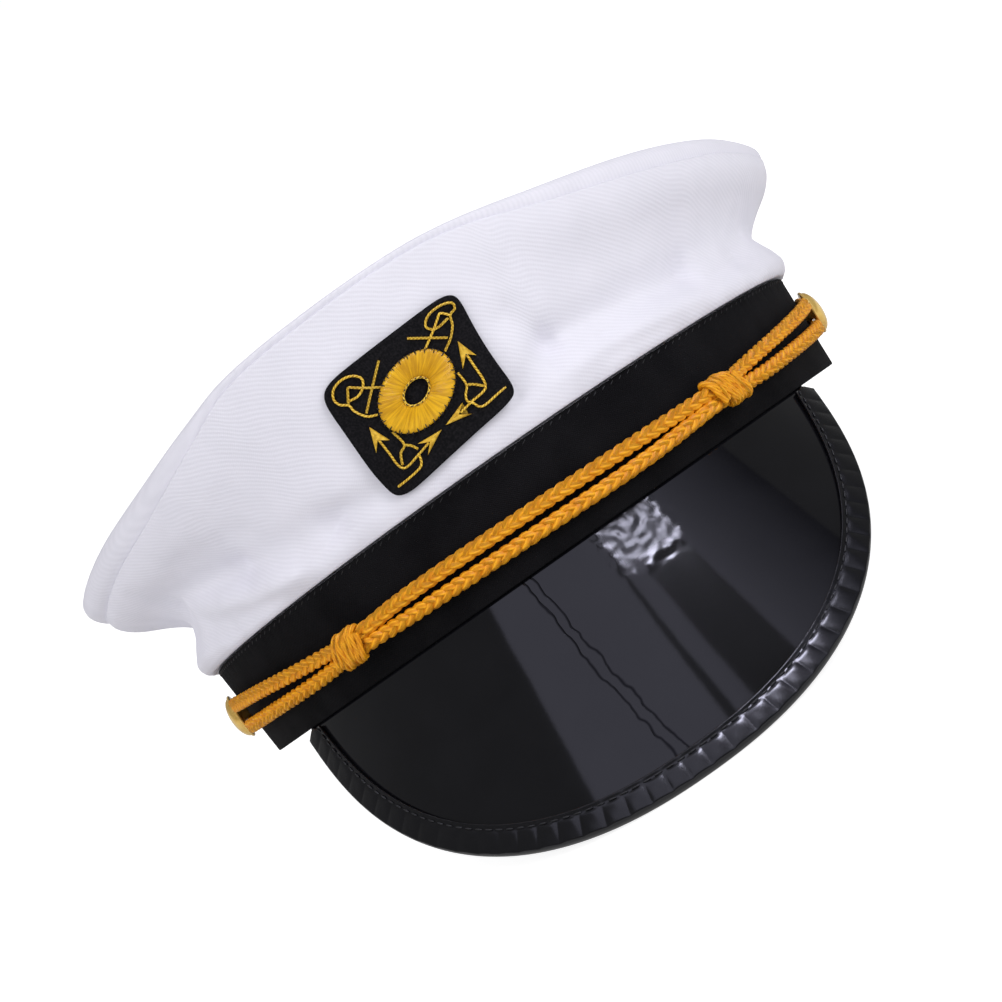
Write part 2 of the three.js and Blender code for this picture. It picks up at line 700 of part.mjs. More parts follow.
function flukeBody(fluke, extra, mirrored) {
  const turn = radians(fluke.turn);
  const flat = [
    [FLUKE_LENGTH * 0.6, 0],
    [-FLUKE_LENGTH * 0.4, FLUKE_WIDTH / 2],
    [-FLUKE_LENGTH * 0.15, 0],
    [-FLUKE_LENGTH * 0.4, -FLUKE_WIDTH / 2],
  ].map(([x, y]) => {
    const across = (fluke.x * BADGE_WIDTH) / 2 + x * Math.cos(turn) - y * Math.sin(turn);
    const up = (fluke.y * BADGE_HEIGHT) / 2 + x * Math.sin(turn) + y * Math.cos(turn);
    return [mirrored * across, up];
  });
  const [tip, left, notch, right] = flat;
  const face = (lift) =>
    [
      [left, left],
      [notch, tip],
      [right, right],
    ].map((column) => column.map(([x, y]) => onCrown(x, y, lift)));
  const outer = face(threadLift + THREAD + extra);
  const inner = face(threadLift - extra);
  return mirrored > 0 ? sheetBody(outer, inner, false) : sheetBody(inner, outer, false);
}

function eyeBody(extra, mirrored) {
  const centreX = (ANCHOR_EYE.x * BADGE_WIDTH) / 2;
  const centreY = (ANCHOR_EYE.y * BADGE_HEIGHT) / 2;
  const face = (lift) =>
    steps(EYE_STEPS, 0, 2 * Math.PI)
      .slice(0, -1)
      .map((turned) =>
        [EYE_DIAMETER / 2, EYE_DIAMETER / 2 - ANCHOR_LINE].map((radius) => {
          const across = centreX + radius * Math.cos(turned);
          const up = centreY + radius * Math.sin(turned);
          return onCrown(mirrored * across, up, lift);
        }),
      );
  const outer = face(threadLift + THREAD + extra);
  const inner = face(threadLift - extra);
  return mirrored > 0 ? sheetBody(outer, inner, true) : sheetBody(inner, outer, true);
}

function anchorsBody() {
  const pieces = [1, -1].flatMap((mirrored, which) => {
    const point = (x, y) => new THREE.Vector2((x * BADGE_WIDTH) / 2, (y * BADGE_HEIGHT) / 2);
    const lines = ANCHOR_LINES.map((line, i) => {
      const extra = (i + which / 2) * THREAD_STEP;
      return threadLine(point(line.x, line.y), point(line.toX, line.toY), extra, mirrored);
    });
    const flukes = ANCHOR_FLUKES.map((fluke, i) => flukeBody(fluke, (i + 0.75) * THREAD_STEP, mirrored));
    return [...lines, ...flukes, eyeBody(0.25 * THREAD_STEP, mirrored)];
  });
  return joined(pieces);
}

// Colours of the materials
const white = new THREE.MeshStandardMaterial({ color: 0xe4e0ee, roughness: 0.85 });
const blackCloth = new THREE.MeshStandardMaterial({ color: 0x17161a, roughness: 0.9 });
const vinyl = new THREE.MeshStandardMaterial({ color: 0x1b1b20, roughness: 0.12 });
const goldThread = new THREE.MeshStandardMaterial({ color: 0xe8a528, roughness: 0.6 });
const brass = new THREE.MeshStandardMaterial({ color: 0xd9a441, roughness: 0.25, metalness: 1 });

function piece(name, geometry, material) {
  const mesh = new THREE.Mesh(geometry, material);
  mesh.name = name;
  return mesh;
}

const crown = new THREE.Group();
crown.add(
  piece("crown_side", sheetBody(sideOuter, sideInner, true), white),
  piece("crown_top", sheetBody(...crownTopFaces(), true), white),
);

const badge = new THREE.Group();
badge.add(
  piece("badge_patch", patchBody(), blackCloth),
  piece("badge_anchors", anchorsBody(), goldThread),
  piece("badge_ring", lifeRingBody(), goldThread),
);

const peak = new THREE.Group();
const binding = piece("visor_binding", bindingBody(), vinyl);
peak.add(piece("visor", peakBody(), vinyl), binding);

const chinCord = new THREE.Group();
chinCord.add(
  piece("chin_cord", cordLoop(), goldThread),
  piece("knot_left", knotBody(KNOT_ANGLES[0]), goldThread),
  piece("knot_right", knotBody(KNOT_ANGLES[1]), goldThread),
);
for (const [name, side] of [["button_left", -1], ["button_right", 1]]) {
  const button = piece(name, buttonBody(), brass);
  const height = cordMiddle(90 * side);
  button.position.copy(around(90 * side, bandOutside(90, height) + CLEARANCE, height));
  button.rotation.z = (-side * Math.PI) / 2;
  chinCord.add(button);
}

const hat = new THREE.Group();
hat.add(piece("band", bandBody(), blackCloth), crown, badge, peak, chinCord);

// The hat tips back until the rim of its peak is as low as the band's back edge.
const heel = around(180, BAND_WALL, 0);
const rimPoints = binding.geometry.attributes.position;
let tip = 0;
for (let i = 0; i < rimPoints.count; i += 1) {
  const point = new THREE.Vector3().fromBufferAttribute(rimPoints, i);
  tip = Math.max(tip, Math.atan2(-point.z, heel.y - point.y));
}
hat.rotation.x = -tip;

// The origin is the middle of the hat's box, on the surface that it rests on.
const atRest = new THREE.Group();
atRest.add(hat);
const box = new THREE.Box3().setFromObject(atRest, true);
const middle = box.getCenter(new THREE.Vector3());
hat.position.set(-middle.x, -middle.y, -box.min.z);

export default atRest;
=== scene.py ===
import json
import math

import bmesh
import bpy
import numpy as np
from mathutils import Matrix, Vector, noise


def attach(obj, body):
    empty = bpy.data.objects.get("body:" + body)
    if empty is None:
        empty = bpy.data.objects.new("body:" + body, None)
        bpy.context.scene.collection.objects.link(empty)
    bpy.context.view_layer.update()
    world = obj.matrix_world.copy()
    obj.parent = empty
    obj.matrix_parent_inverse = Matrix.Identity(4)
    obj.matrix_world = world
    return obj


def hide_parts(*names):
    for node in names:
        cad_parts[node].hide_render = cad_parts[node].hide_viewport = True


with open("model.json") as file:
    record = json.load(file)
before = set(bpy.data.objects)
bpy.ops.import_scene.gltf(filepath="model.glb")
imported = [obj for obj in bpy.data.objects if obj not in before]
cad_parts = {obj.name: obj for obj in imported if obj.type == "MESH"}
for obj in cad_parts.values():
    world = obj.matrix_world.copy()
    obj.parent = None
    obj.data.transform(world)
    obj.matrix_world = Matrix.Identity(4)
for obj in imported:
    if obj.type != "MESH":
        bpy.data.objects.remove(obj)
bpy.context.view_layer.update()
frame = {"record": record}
MM = 0.001

# Head band: black cotton drawn round a strip of stiff card and stitched to the crown along its
# upper edge, where each stitch pulls a small pucker. It goes round the head and carries the rest.
HEAD_WIDTH = 176 * MM
HEAD_LENGTH = 194 * MM
BAND_WALL = 2.5 * MM
BAND_FRONT_HEIGHT = 28 * MM
BAND_BACK_HEIGHT = 24.5 * MM
BAND_FLARE = 1.6 * MM
BAND_EDGE = 0.4 * MM
PUCKER_PITCH = 5.5 * MM
PUCKER_DEPTH = 0.25 * MM
PUCKER_REACH = 1.8 * MM
CLEARANCE = 0.3 * MM

# The hat is worked out as it is worn, level, with its front towards -Y and the band's lower edge
# at height 0. The record's mount on that edge says how it leans back on the rim of its peak.
edge_mount = next(m for m in frame["record"]["mounts"] if m["name"] == "band_lower_edge")
lean = math.atan2(-edge_mount["axis"][1], -edge_mount["axis"][2])
turn_to_rest = Matrix.Rotation(-lean, 3, "X")
heel = Vector((0, (HEAD_LENGTH + BAND_WALL) / 2, 0))
hat_origin = Vector(edge_mount["pos_m"]) - turn_to_rest @ heel


def at_rest(points):
    """Points of the level hat, where they are when it lies on the floor."""
    return np.asarray(points) @ np.array(turn_to_rest).T + np.array(hat_origin)


def outwards(angle):
    """Direction straight out from the head's oval, at degrees from its front towards +X."""
    turned = np.radians(angle)
    away = np.stack([np.sin(turned) / HEAD_WIDTH, -np.cos(turned) / HEAD_LENGTH, 0 * turned], -1)
    return away / np.linalg.norm(away, axis=-1, keepdims=True)


def around(angle, out, height):
    """Point at an angle and a height, out from the head's oval by a distance."""
    angle, out, height = np.broadcast_arrays(np.asarray(angle, float), out, height)
    turned = np.radians(angle)
    oval = [HEAD_WIDTH / 2 * np.sin(turned), -HEAD_LENGTH / 2 * np.cos(turned), height]
    return np.stack(oval, -1) + outwards(angle) * out[..., None]


def full_turn(count):
    """Angles at even steps once round the head, from the back."""
    return np.linspace(-180, 180, count, endpoint=False)


def smoothstep(value, low, high):
    share = np.clip((value - low) / (high - low), 0, 1)
    return share * share * (3 - 2 * share)


def band_top(angle):
    front = (1 + np.cos(np.radians(angle))) / 2
    return BAND_BACK_HEIGHT + (BAND_FRONT_HEIGHT - BAND_BACK_HEIGHT) * front


def band_flare(angle, height):
    return BAND_FLARE * height / band_top(angle)


def run_length(points, axis):
    """Distance along rows of points from their first one."""
    steps = np.linalg.norm(np.diff(points, axis=axis), axis=-1)
    start = np.zeros_like(np.take(steps, [0], axis))
    return np.concatenate([start, np.cumsum(steps, axis)], axis)


def in_scene(name, data):
    thing = bpy.data.objects.new(name, data)
    bpy.context.scene.collection.objects.link(thing)
    return thing


def lofted(name, sections, goes_round, flat=None):
    """A piece over a row of closed sections, which goes right round or has its two ends capped.
    Its UV map is the cloth's flat pattern in metres: along the row, and round each section."""
    count, sides = sections.shape[:2]
    spans = count if goes_round else count - 1
    i, k = np.meshgrid(np.arange(spans), np.arange(sides), indexing="ij")
    corners = [(i, k), (i + 1, k), (i + 1, k + 1), (i, k + 1)]
    faces = np.stack([(a % count) * sides + b % sides for a, b in corners], -1).reshape(-1, 4)
    if flat is None:
        wrapped = np.concatenate([sections, sections[:1]]) if goes_round else sections
        wrapped = np.concatenate([wrapped, wrapped[:, :1]], 1)
        along = run_length(wrapped, 0).mean(1, keepdims=True)
        flat = np.stack(np.broadcast_arrays(along, run_length(wrapped, 1)), -1)
    uv = np.stack([flat[a % flat.shape[0], b % flat.shape[1]] for a, b in corners], 2).reshape(-1, 2)
    mesh = bpy.data.meshes.new(name)
    caps = [] if goes_round else [list(range(sides))[::-1], [(count - 1) * sides + s for s in range(sides)]]
    mesh.from_pydata(at_rest(sections).reshape(-1, 3), [], faces.tolist() + caps)
    layer = mesh.uv_layers.new(name="pattern")
    padding = np.zeros((sum(len(cap) for cap in caps), 2))
    layer.data.foreach_set("uv", np.concatenate([uv, padding]).ravel())
    body = bmesh.new()
    body.from_mesh(mesh)
    bmesh.ops.remove_doubles(body, verts=body.verts, dist=1e-7)
    if body.calc_volume(signed=True) < 0:
        bmesh.ops.reverse_faces(body, faces=body.faces)
    body.to_mesh(mesh)
    body.free()
    mesh.polygons.foreach_set("use_smooth", [True] * len(mesh.polygons))
    return in_scene(name, mesh)


class Wire:
    """A value on its way through a node tree: sums and products of wires add Math nodes."""

    def __init__(self, tree, socket=None):
        self.tree, self.socket = tree, socket

    def node(self, kind, inputs=None, output=0, **settings):
        """A node of that type with its settings, then the values or links of its sockets."""
        made = self.tree.nodes.new(kind)
        for name, value in settings.items():
            setattr(made, name, value)
        for name, value in (inputs or {}).items():
            if isinstance(value, Wire):
                self.tree.links.new(value.socket, made.inputs[name])
            else:
                made.inputs[name].default_value = value
        return Wire(self.tree, made.outputs[output])

    def maths(self, operation, *values):
        return self.node("ShaderNodeMath", dict(enumerate(values)), operation=operation)

    def __add__(self, other):
        return self.maths("ADD", self, other)

    def __sub__(self, other):
        return self.maths("SUBTRACT", self, other)

    def __rsub__(self, other):
        return self.maths("SUBTRACT", other, self)

    def __mul__(self, other):
        return self.maths("MULTIPLY", self, other)

    def __truediv__(self, other):
        return self.maths("DIVIDE", self, other)

    __radd__ = __add__
    __rmul__ = __mul__

    def clamped(self, low, high):
        """0 up to low, 1 from high on, and smooth between."""
        mapped = {"Value": self, "From Min": low, "From Max": high}
        return self.node("ShaderNodeMapRange", mapped, interpolation_type="SMOOTHSTEP")

    def mixed(self, first, second):
        """First colour where this wire is 0, second where it is 1."""
        inputs = {0: self, 6: (*first, 1), 7: (*second, 1)}
        return self.node("ShaderNodeMix", inputs, output=2, data_type="RGBA")

    def bump(self, distance):
        return self.node("ShaderNodeBump", {"Height": self, "Distance": distance, "Strength": 1.0})


def finish(name, roughness, **constants):
    """A material, its shader's sockets, and a wire to start from."""
    material = bpy.data.materials.new(name)
    material.use_nodes = True
    shader = material.node_tree.nodes["Principled BSDF"]
    shader.inputs["Roughness"].default_value = roughness
    for socket, value in constants.items():
        shader.inputs[socket.replace("_", " ")].default_value = value
    return material, shader.inputs, Wire(material.node_tree)


def lead(wire, socket):
    """Joins a wire to a socket of the shader."""
    wire.tree.links.new(wire.socket, socket)


def pattern(start):
    """The two coordinates of the flat pattern, in millimetres."""
    place = start.node("ShaderNodeUVMap", uv_map="pattern")
    parts = [place.node("ShaderNodeSeparateXYZ", {0: place}, output=n) for n in (0, 1)]
    return [part / MM for part in parts]


def grain(start, scale, detail=3.0):
    """Soft irregular noise of a size in millimetres, about 0.5."""
    place = start.node("ShaderNodeTexCoord", output=3)
    inputs = {"Vector": place, "Scale": 1 / (scale * MM), "Detail": detail}
    return start.node("ShaderNodeTexNoise", inputs)


def band_cloth():
    material, sockets, start = finish("black_cotton", 0.9, Specular_IOR_Level=0.12)
    along, up = pattern(start)
    weave = start.maths("SINE", along * 9.0) * start.maths("SINE", up * 9.0)
    shade = grain(start, 14).clamped(0.3, 0.7)
    lead(shade.mixed((0.0032, 0.0031, 0.0038), (0.006, 0.0058, 0.0068)), sockets["Base Color"])
    lead((weave * 0.5 + grain(start, 0.6)).bump(0.12 * MM), sockets["Normal"])
    return material


def band_section(angle, rows):
    """Closed section of the band's wall with rounded edges, from its lower outside corner."""
    top = band_top(angle)[:, None]
    climb = BAND_EDGE + (top - 2 * BAND_EDGE) * np.linspace(0, 1, rows)[None, :]
    below_line = (top - climb - PUCKER_REACH) / PUCKER_REACH
    place = angle[:, None] * math.radians(1) * HEAD_LENGTH / 2
    wave = np.abs(np.sin(math.pi * place / PUCKER_PITCH + 1.6 * np.sin(place / (13 * MM))))
    uneven = 0.55 + 0.45 * np.sin(place / (7.7 * MM)) * np.sin(place / (4.3 * MM) + 1)
    pucker = PUCKER_DEPTH * uneven * (1 - wave) ** 3 * np.exp(-(below_line**2))
    outer = [BAND_WALL - pucker, climb]
    turn = np.radians([22.5, 45, 67.5])[None, :]
    over = [BAND_WALL - BAND_EDGE * (1 - np.cos(turn)), top - BAND_EDGE * (1 - np.sin(turn))]
    inner_rows = np.linspace(1, 0, 6)[None, :]
    inner = [0 * top, BAND_EDGE / 2 + (top - BAND_EDGE) * inner_rows]
    rim = [BAND_EDGE / 2 + 0 * top, top + 0 * top]
    sole = [BAND_WALL / 2 + 0 * top, 0 * top]
    under = [BAND_WALL - BAND_EDGE * (1 - np.sin(turn)), BAND_EDGE * (1 - np.cos(turn)) + 0 * top]
    parts = [np.broadcast_arrays(a, b) for a, b in (outer, over, rim, inner, sole, under)]
    out = np.concatenate([a for a, _ in parts], 1)
    height = np.concatenate([b for _, b in parts], 1)
    return around(angle[:, None], out + band_flare(angle[:, None], height), height)


BAND_COLUMNS = 1080
BAND_ROWS = 22
band = lofted("head_band", band_section(full_turn(BAND_COLUMNS), BAND_ROWS), True)
band.data.materials.append(band_cloth())
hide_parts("band")
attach(band, "root")

# Crown's side panel: white cotton twill, cut in one strip, stiff at the front where a stay holds
# it up and slack at the sides, where it sinks into folds. Its hem is stitched inside the band.
CLOTH = 1.2 * MM
HEM_DEPTH = 6 * MM
FRONT_RISE = 52.5 * MM
BACK_RISE = 25 * MM
OVERHANG = 20 * MM
FOLD_WIDTH = 8 * MM
FOLD_DEPTH = 3 * MM
GATHER_DEPTH = 0.28 * MM
SWELL_DEPTH = 0.3 * MM
TWILL_PITCH = 1.1
TWILL_ANGLE = math.radians(35)
YARN_PITCH = 0.45


def table(columns, *rows):
    """A table with named columns."""
    return dict(zip(columns.split(), np.array(rows, float).T))


# Rim of the crown by angle from the front. rise runs from the back's height, 0, to the front's, 1;
# reach is a share of the overhang, puff and lap of the top's puff, and waist how far it is drawn in.
RIM = table(
    "angle rise reach puff lap waist",
    (-180, 0.0, 1.0, 0.6, 0.1, 0.6),
    (-125, 0.03, 0.94, 0.6, 0.2, 0.8),
    (-90, 0.1, 0.84, 0.9, 0.7, 1.0),
    (-76, 0.14, 0.8, 1.0, 0.6, 0.9),
    (-60, 0.31, 0.72, 1.0, 0.3, 0.55),
    (-47, 0.47, 0.64, 0.9, 0.1, 0.4),
    (-33, 0.74, 0.55, 0.5, 0.0, 0.25),
    (-24, 0.93, 0.5, 0.1, 0.0, 0.15),
    (-10, 0.99, 0.48, 0.0, 0.0, 0.0),
    (6, 0.98, 0.48, 0.0, 0.0, 0.0),
    (15, 0.9, 0.49, 0.1, 0.0, 0.2),
    (28, 0.67, 0.54, 0.5, 0.0, 0.45),
    (46, 0.44, 0.64, 0.7, 0.0, 0.6),
    (60, 0.31, 0.67, 0.6, 0.0, 0.7),
    (76, 0.16, 0.7, 0.5, 0.0, 0.75),
    (95, 0.1, 0.74, 0.5, 0.1, 0.8),
    (125, 0.03, 0.94, 0.6, 0.1, 0.8),
)

# Side panel from the band's upper edge, 0, to the rim, 1, where it is taut and where it is slack.
SIDE_PANEL = table(
    "rise taut slack",
    (0.012, 0.05, 0.08),
    (0.05, 0.14, 0.17),
    (0.14, 0.27, 0.23),
    (0.25, 0.39, 0.12),
    (0.36, 0.48, -0.02),
    (0.47, 0.55, -0.06),
    (0.58, 0.63, 0.09),
    (0.69, 0.72, 0.38),
    (0.8, 0.82, 0.73),
    (0.9, 0.91, 0.93),
    (1.0, 1.0, 1.0),
)

# Folds along the panel, from one angle and share of the rise to another; a ridge has less than 0.
FOLDS = table(
    "start low end high width depth",
    (-64, 0.64, -45, 0.37, 0.75, 1.0),
    (-45, 0.37, -26, 0.21, 0.7, 0.9),
    (-26, 0.21, -14, 0.17, 0.5, 0.5),
    (-62, 0.5, -36, 0.1, 0.55, -0.6),
    (-60, 0.28, -42, 0.06, 0.5, 0.6),
    (9, 0.18, 17.5, 0.32, 0.45, 0.45),
    (17.5, 0.32, 46, 0.34, 0.6, 1.0),
    (46, 0.34, 64, 0.28, 0.85, 0.65),
    (17.5, 0.32, 14, 0.52, 0.5, 0.4),
    (20, 0.2, 44, 0.17, 0.8, -0.2),
    (118, 0.6, 160, 0.3, 0.8, 0.7),
    (-112, 0.55, -158, 0.34, 0.8, 0.7),
)

# Finer creases, in the same columns.
CREASES = table(
    "start low end high width depth",
    (16, 0.2, 40, 0.26, 0.3, 0.22),
    (24, 0.1, 36, 0.05, 0.3, 0.2),
    (48, 0.16, 62, 0.3, 0.35, 0.25),
    (-30, 0.1, -22, 0.22, 0.3, 0.25),
    (-52, 0.7, -38, 0.52, 0.4, 0.2),
    (-70, 0.3, -55, 0.12, 0.4, 0.25),
    (70, 0.5, 96, 0.42, 0.4, 0.3),
    (-96, 0.4, -76, 0.5, 0.4, 0.3),
    (150, 0.5, 172, 0.6, 0.5, 0.3),
    (-172, 0.3, -140, 0.5, 0.5, 0.3),
)


def read(rows, key, column, place, period=None):
    """Smooth value of a column of a table at places, with a cubic through its rows."""
    at, value = rows[key], rows[column]
    if period:
        at = np.concatenate([at[-1:] - period, at, at[:2] + period])
        value = np.concatenate([value[-1:], value, value[:2]])
    i = np.clip(np.searchsorted(at, place, side="right") - 1, 0, len(at) - 2)
    before, after = np.maximum(i - 1, 0), np.minimum(i + 2, len(at) - 1)
    span = at[i + 1] - at[i]
    t = np.clip((place - at[i]) / span, 0, 1)
    slope_in = (value[i + 1] - value[before]) / (at[i + 1] - at[before]) * span
    slope_out = (value[after] - value[i]) / (at[after] - at[i]) * span
    start = (2 * t**3 - 3 * t**2 + 1) * value[i] + (t**3 - 2 * t**2 + t) * slope_in
    return start + (3 * t**2 - 2 * t**3) * value[i + 1] + (t**3 - t**2) * slope_out


def rim(column, angle):
    return read(RIM, "angle", column, (np.asarray(angle, float) + 180) % 360 - 180, 360)


def rim_rise(angle):
    return BACK_RISE + (FRONT_RISE - BACK_RISE) * rim("rise", angle)


def rim_out(angle):
    return BAND_WALL + BAND_FLARE + OVERHANG * rim("reach", angle)


def fold_depth(rows, angle, rise):
    """How deep the folds of a table lie at a place of the side panel."""
    arc = math.radians(1) * HEAD_LENGTH / 2
    place = np.stack([angle * arc, rise * rim_rise(angle)], -1)
    depth = np.zeros(place.shape[:-1])
    for start, low, end, high, width, deep in zip(*rows.values()):
        first = np.array([start * arc, low * rim_rise(start)])
        run = np.array([end * arc, high * rim_rise(end)]) - first
        share = np.clip(((place - first) @ run) / (run @ run), 0, 1)
        away = np.linalg.norm(place - first - share[..., None] * run, axis=-1)
        depth += deep * FOLD_DEPTH * np.exp(-((away / (width * FOLD_WIDTH)) ** 2))
    return depth * smoothstep(np.minimum(rise, 1 - rise), 0, 0.15)


def crown_point(angle, rise, fine=1.0):
    """Outside of the side panel at an angle and a share of its rise."""
    angle, rise = np.broadcast_arrays(np.asarray(angle, float), rise)
    waist = rim("waist", angle)
    taut = read(SIDE_PANEL, "rise", "taut", rise)
    slack = read(SIDE_PANEL, "rise", "slack", rise)
    edge = BAND_WALL + BAND_FLARE
    out = edge + (rim_out(angle) - edge) * (taut + (slack - taut) * waist)
    out = out - fold_depth(FOLDS, angle, rise) - fine * fold_depth(CREASES, angle, rise)
    return around(angle, out, band_top(angle) + rise * rim_rise(angle))


def face_behind(grid, distance, goes_round):
    """Second face of a sheet, a distance behind the first."""
    across = np.gradient(grid, axis=0)
    if goes_round:
        across = (np.roll(grid, -1, 0) - np.roll(grid, 1, 0)) / 2
    normal = np.cross(across, np.gradient(grid, axis=1))
    length = np.maximum(np.linalg.norm(normal, axis=-1, keepdims=True), 1e-12)
    return grid - distance * normal / length


def gathers(angle, rise):
    """Small puckers above the band, where the panel is eased into it, and soft slackness."""
    place = angle * math.radians(1) * HEAD_LENGTH / 2
    wave = np.sin(place / (2.1 * MM) + 2 * np.sin(place / (13 * MM)) + 1.3 * np.sin(place / (31 * MM)))
    near_band = np.exp(-rise / 0.09)
    swell = np.sin(place / (17 * MM) + 5 * rise) * np.sin(place / (29 * MM) - 7 * rise + 1)
    inside = smoothstep(np.minimum(rise, 1 - rise), 0, 0.3)
    return GATHER_DEPTH * wave * near_band + SWELL_DEPTH * swell * inside


CROWN_COLUMNS = 720
CROWN_ROWS = 76
crown_angles = full_turn(CROWN_COLUMNS)[:, None]
first_rise = SIDE_PANEL["rise"][0]
rises = first_rise + (1 - first_rise) * np.linspace(0, 1, CROWN_ROWS)[None, :]
panel = crown_point(crown_angles, rises)
panel += outwards(crown_angles + 0 * rises) * gathers(crown_angles, rises)[..., None]
top_edge = band_top(crown_angles)


def hem_rows():
    """The hem inside the band and its turn over the band's upper edge, up to the panel's start."""
    shares = np.linspace(0, 1, 4)[None, :]
    heights = top_edge - HEM_DEPTH * (1 - shares)
    hem = around(crown_angles, band_flare(crown_angles, heights) - CLEARANCE, heights)
    start, end = hem[:, -1:], panel[:, :1]
    over = around(crown_angles, BAND_FLARE + 0.2 * BAND_WALL, top_edge + 0.9 * CLOTH)
    belly = around(crown_angles, BAND_WALL + BAND_FLARE + 0.2 * CLOTH, top_edge + 0.3 * CLOTH)
    t = np.linspace(0, 1, 9)[None, 1:-1, None]
    turned = (1 - t) ** 3 * start + 3 * (1 - t) ** 2 * t * over + 3 * (1 - t) * t**2 * belly + t**3 * end
    return np.concatenate([hem, turned], 1)


side_outer = np.concatenate([hem_rows(), panel], 1)
side_inner = face_behind(side_outer, CLOTH, True)[:, ::-1][:, ::3]


def white_cloth():
    material, sockets, start = finish("white_twill", 0.8, Sheen_Weight=0.12, Sheen_Roughness=0.4)
    along, up = pattern(start)
    wander = grain(start, 8, 1.0) * 0.6
    across_rib = along * math.sin(TWILL_ANGLE) + up * math.cos(TWILL_ANGLE) + wander
    rib = start.maths("SINE", across_rib * (2 * math.pi / TWILL_PITCH))
    yarn = start.maths("SINE", (along * 0.82 - up * 0.57) * (2 * math.pi / YARN_PITCH))
    height = rib * 0.5 + yarn * 0.12 + grain(start, 0.5, 2.0)
    # The twill's ribs are painted a little lighter on their ridges and darker in their grooves, as painted
    # shade; the grain is the cloth's own uneven tone.
    tint = (rib * 0.16 + grain(start, 11) * 0.9).clamped(-0.1, 1.1)
    lead(tint.mixed((0.72, 0.71, 0.79), (0.80, 0.785, 0.87)), sockets["Base Color"])
    lead(height.bump(0.035 * MM), sockets["Normal"])
    return material


twill = white_cloth()
crown_side = lofted("crown_side_panel", np.concatenate([side_outer, side_inner], 1), True)
crown_side.data.materials.append(twill)
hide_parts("crown_side")
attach(crown_side, "root")

# Crown's top panel: an oval of the same twill, sewn to the side panel at the rim with the seam
# turned in, so that its edge rolls up and out beside the seam and its middle sags a little.
UP = np.array([0, 0, 1.0])
TOP_CENTRE_RISE = 42 * MM
TOP_PUFF = 6 * MM
TOP_HOLLOW = 1.6
TOP_SLACK = 0.5 * MM
SEAM_GAP = 0.08 * MM
TOP_COLUMNS = 540
TOP_ROWS = 90

# Top panel from the seam to its centre. radius is a share of the rim's radius, roll of the
# cloth's thickness, puff and lap of the top's puff.
TOP_PANEL = table(
    "place radius roll puff lap",
    (0.0, 0.996, 0.0, 0.0, 0.0),
    (0.03, 1.0, 0.6, 0.22, 0.5),
    (0.06, 1.0, 1.3, 0.5, 0.8),
    (0.1, 0.985, 1.9, 0.8, 1.0),
    (0.17, 0.94, 2.0, 1.0, 0.6),
    (0.3, 0.84, 1.8, 0.95, 0.0),
    (0.48, 0.66, 1.2, 0.7, 0.0),
    (0.68, 0.42, 0.6, 0.35, 0.0),
    (0.86, 0.18, 0.2, 0.1, 0.0),
    (1.0, 0.0, 0.0, 0.0, 0.0),
)


def top_sections():
    angles = full_turn(TOP_COLUMNS)[:, None]
    places = np.linspace(0, 1, TOP_ROWS)[None, :] ** 1.3
    columns = {name: read(TOP_PANEL, "place", name, places) for name in ("radius", "roll", "puff", "lap")}
    edge = crown_point(angles, 1.0) + UP * SEAM_GAP
    centre = np.array([0, 0, band_top(180) + TOP_CENTRE_RISE])
    radius = columns["radius"][..., None]
    points = centre * (1 - radius) + edge * radius
    sunk = 1 - columns["radius"] ** TOP_HOLLOW
    height = edge[..., 2] * (1 - sunk) + centre[2] * sunk
    puff = TOP_PUFF * rim("puff", angles)
    x, y = points[..., 0], points[..., 1]
    slack = np.sin(x / (16 * MM) + 2 * np.sin(y / (21 * MM))) * np.sin(y / (19 * MM) + x / (35 * MM))
    slack = TOP_SLACK * slack * smoothstep(1 - columns["radius"], 0.02, 0.2)
    points[..., 2] = height + puff * columns["puff"] + CLOTH * columns["roll"] + slack
    lap = TOP_PUFF * rim("lap", angles) * columns["lap"]
    outer = points + outwards(angles + 0 * lap) * lap[..., None]
    inner = face_behind(outer, CLOTH, True)
    inner[:, -1] = centre - UP * CLOTH
    return np.concatenate([outer, inner[:, ::-1][:, ::2]], 1)


top = top_sections()
crown_top = lofted("crown_top_panel", top, True, flat=top[..., :2])
crown_top.data.materials.append(twill)
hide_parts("crown_top")
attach(crown_top, "root")

# Peak: black patent vinyl on card, cut as a crescent and bent round the front of the band, with
# a crumpled patch where it was sewn in and two hairline creases beside it, down to the binding.
PEAK_LENGTH = 67.5 * MM
PEAK_SLOPE = math.radians(63)
PEAK_HALF_ANGLE = 60.5
PEAK_BREADTH = 2.27
PEAK_FALL = 1.2
PEAK_SHEET = 1.2 * MM
BINDING_WIDTH = 7.5 * MM
BINDING_WALL = 0.7 * MM
PEAK_SEAT = -0.1 * MM
PEAK_COLUMNS = 420
PEAK_ROWS = 110

# The crumpled patch: its relief, the angle of its middle, how many millimetres a degree is, how far
# it goes to each side and down from the seam, and the two sizes of its dents and their shares of
# the relief. Its vinyl is matt a little farther out.
CRINKLE = 0.28 * MM
CRINKLE_ANGLE = 12
CRINKLE_DEGREE = 1.6
CRINKLE_SIDE = 8
CRINKLE_DOWN = 13
CRINKLE_DENTS = ((2.5, 1.0), (1.3, 0.4))
CRINKLE_ROUGHNESS = 0.32
MATT_SIDE = 9.5
MATT_DOWN = 15

# The creases: where each starts along the seam in millimetres, how far they lean and wander, their
# half width, how deep they are, and how dull. They are dull by being part metal, because metal as
# black as this vinyl mirrors next to nothing.
CREASE_PLACES = (-10.8, -8.2)
CREASE_LEAN = 0.13
CREASE_WANDER = 2.4
CREASE_WIDTH = 0.5
CREASE_DEPTH = 0.055
CREASE_DULL = 0.78


def peak_reach(angle):
    share = np.minimum(np.abs(angle) / PEAK_HALF_ANGLE, 1)
    return PEAK_LENGTH * (1 - share**PEAK_BREADTH) ** PEAK_FALL


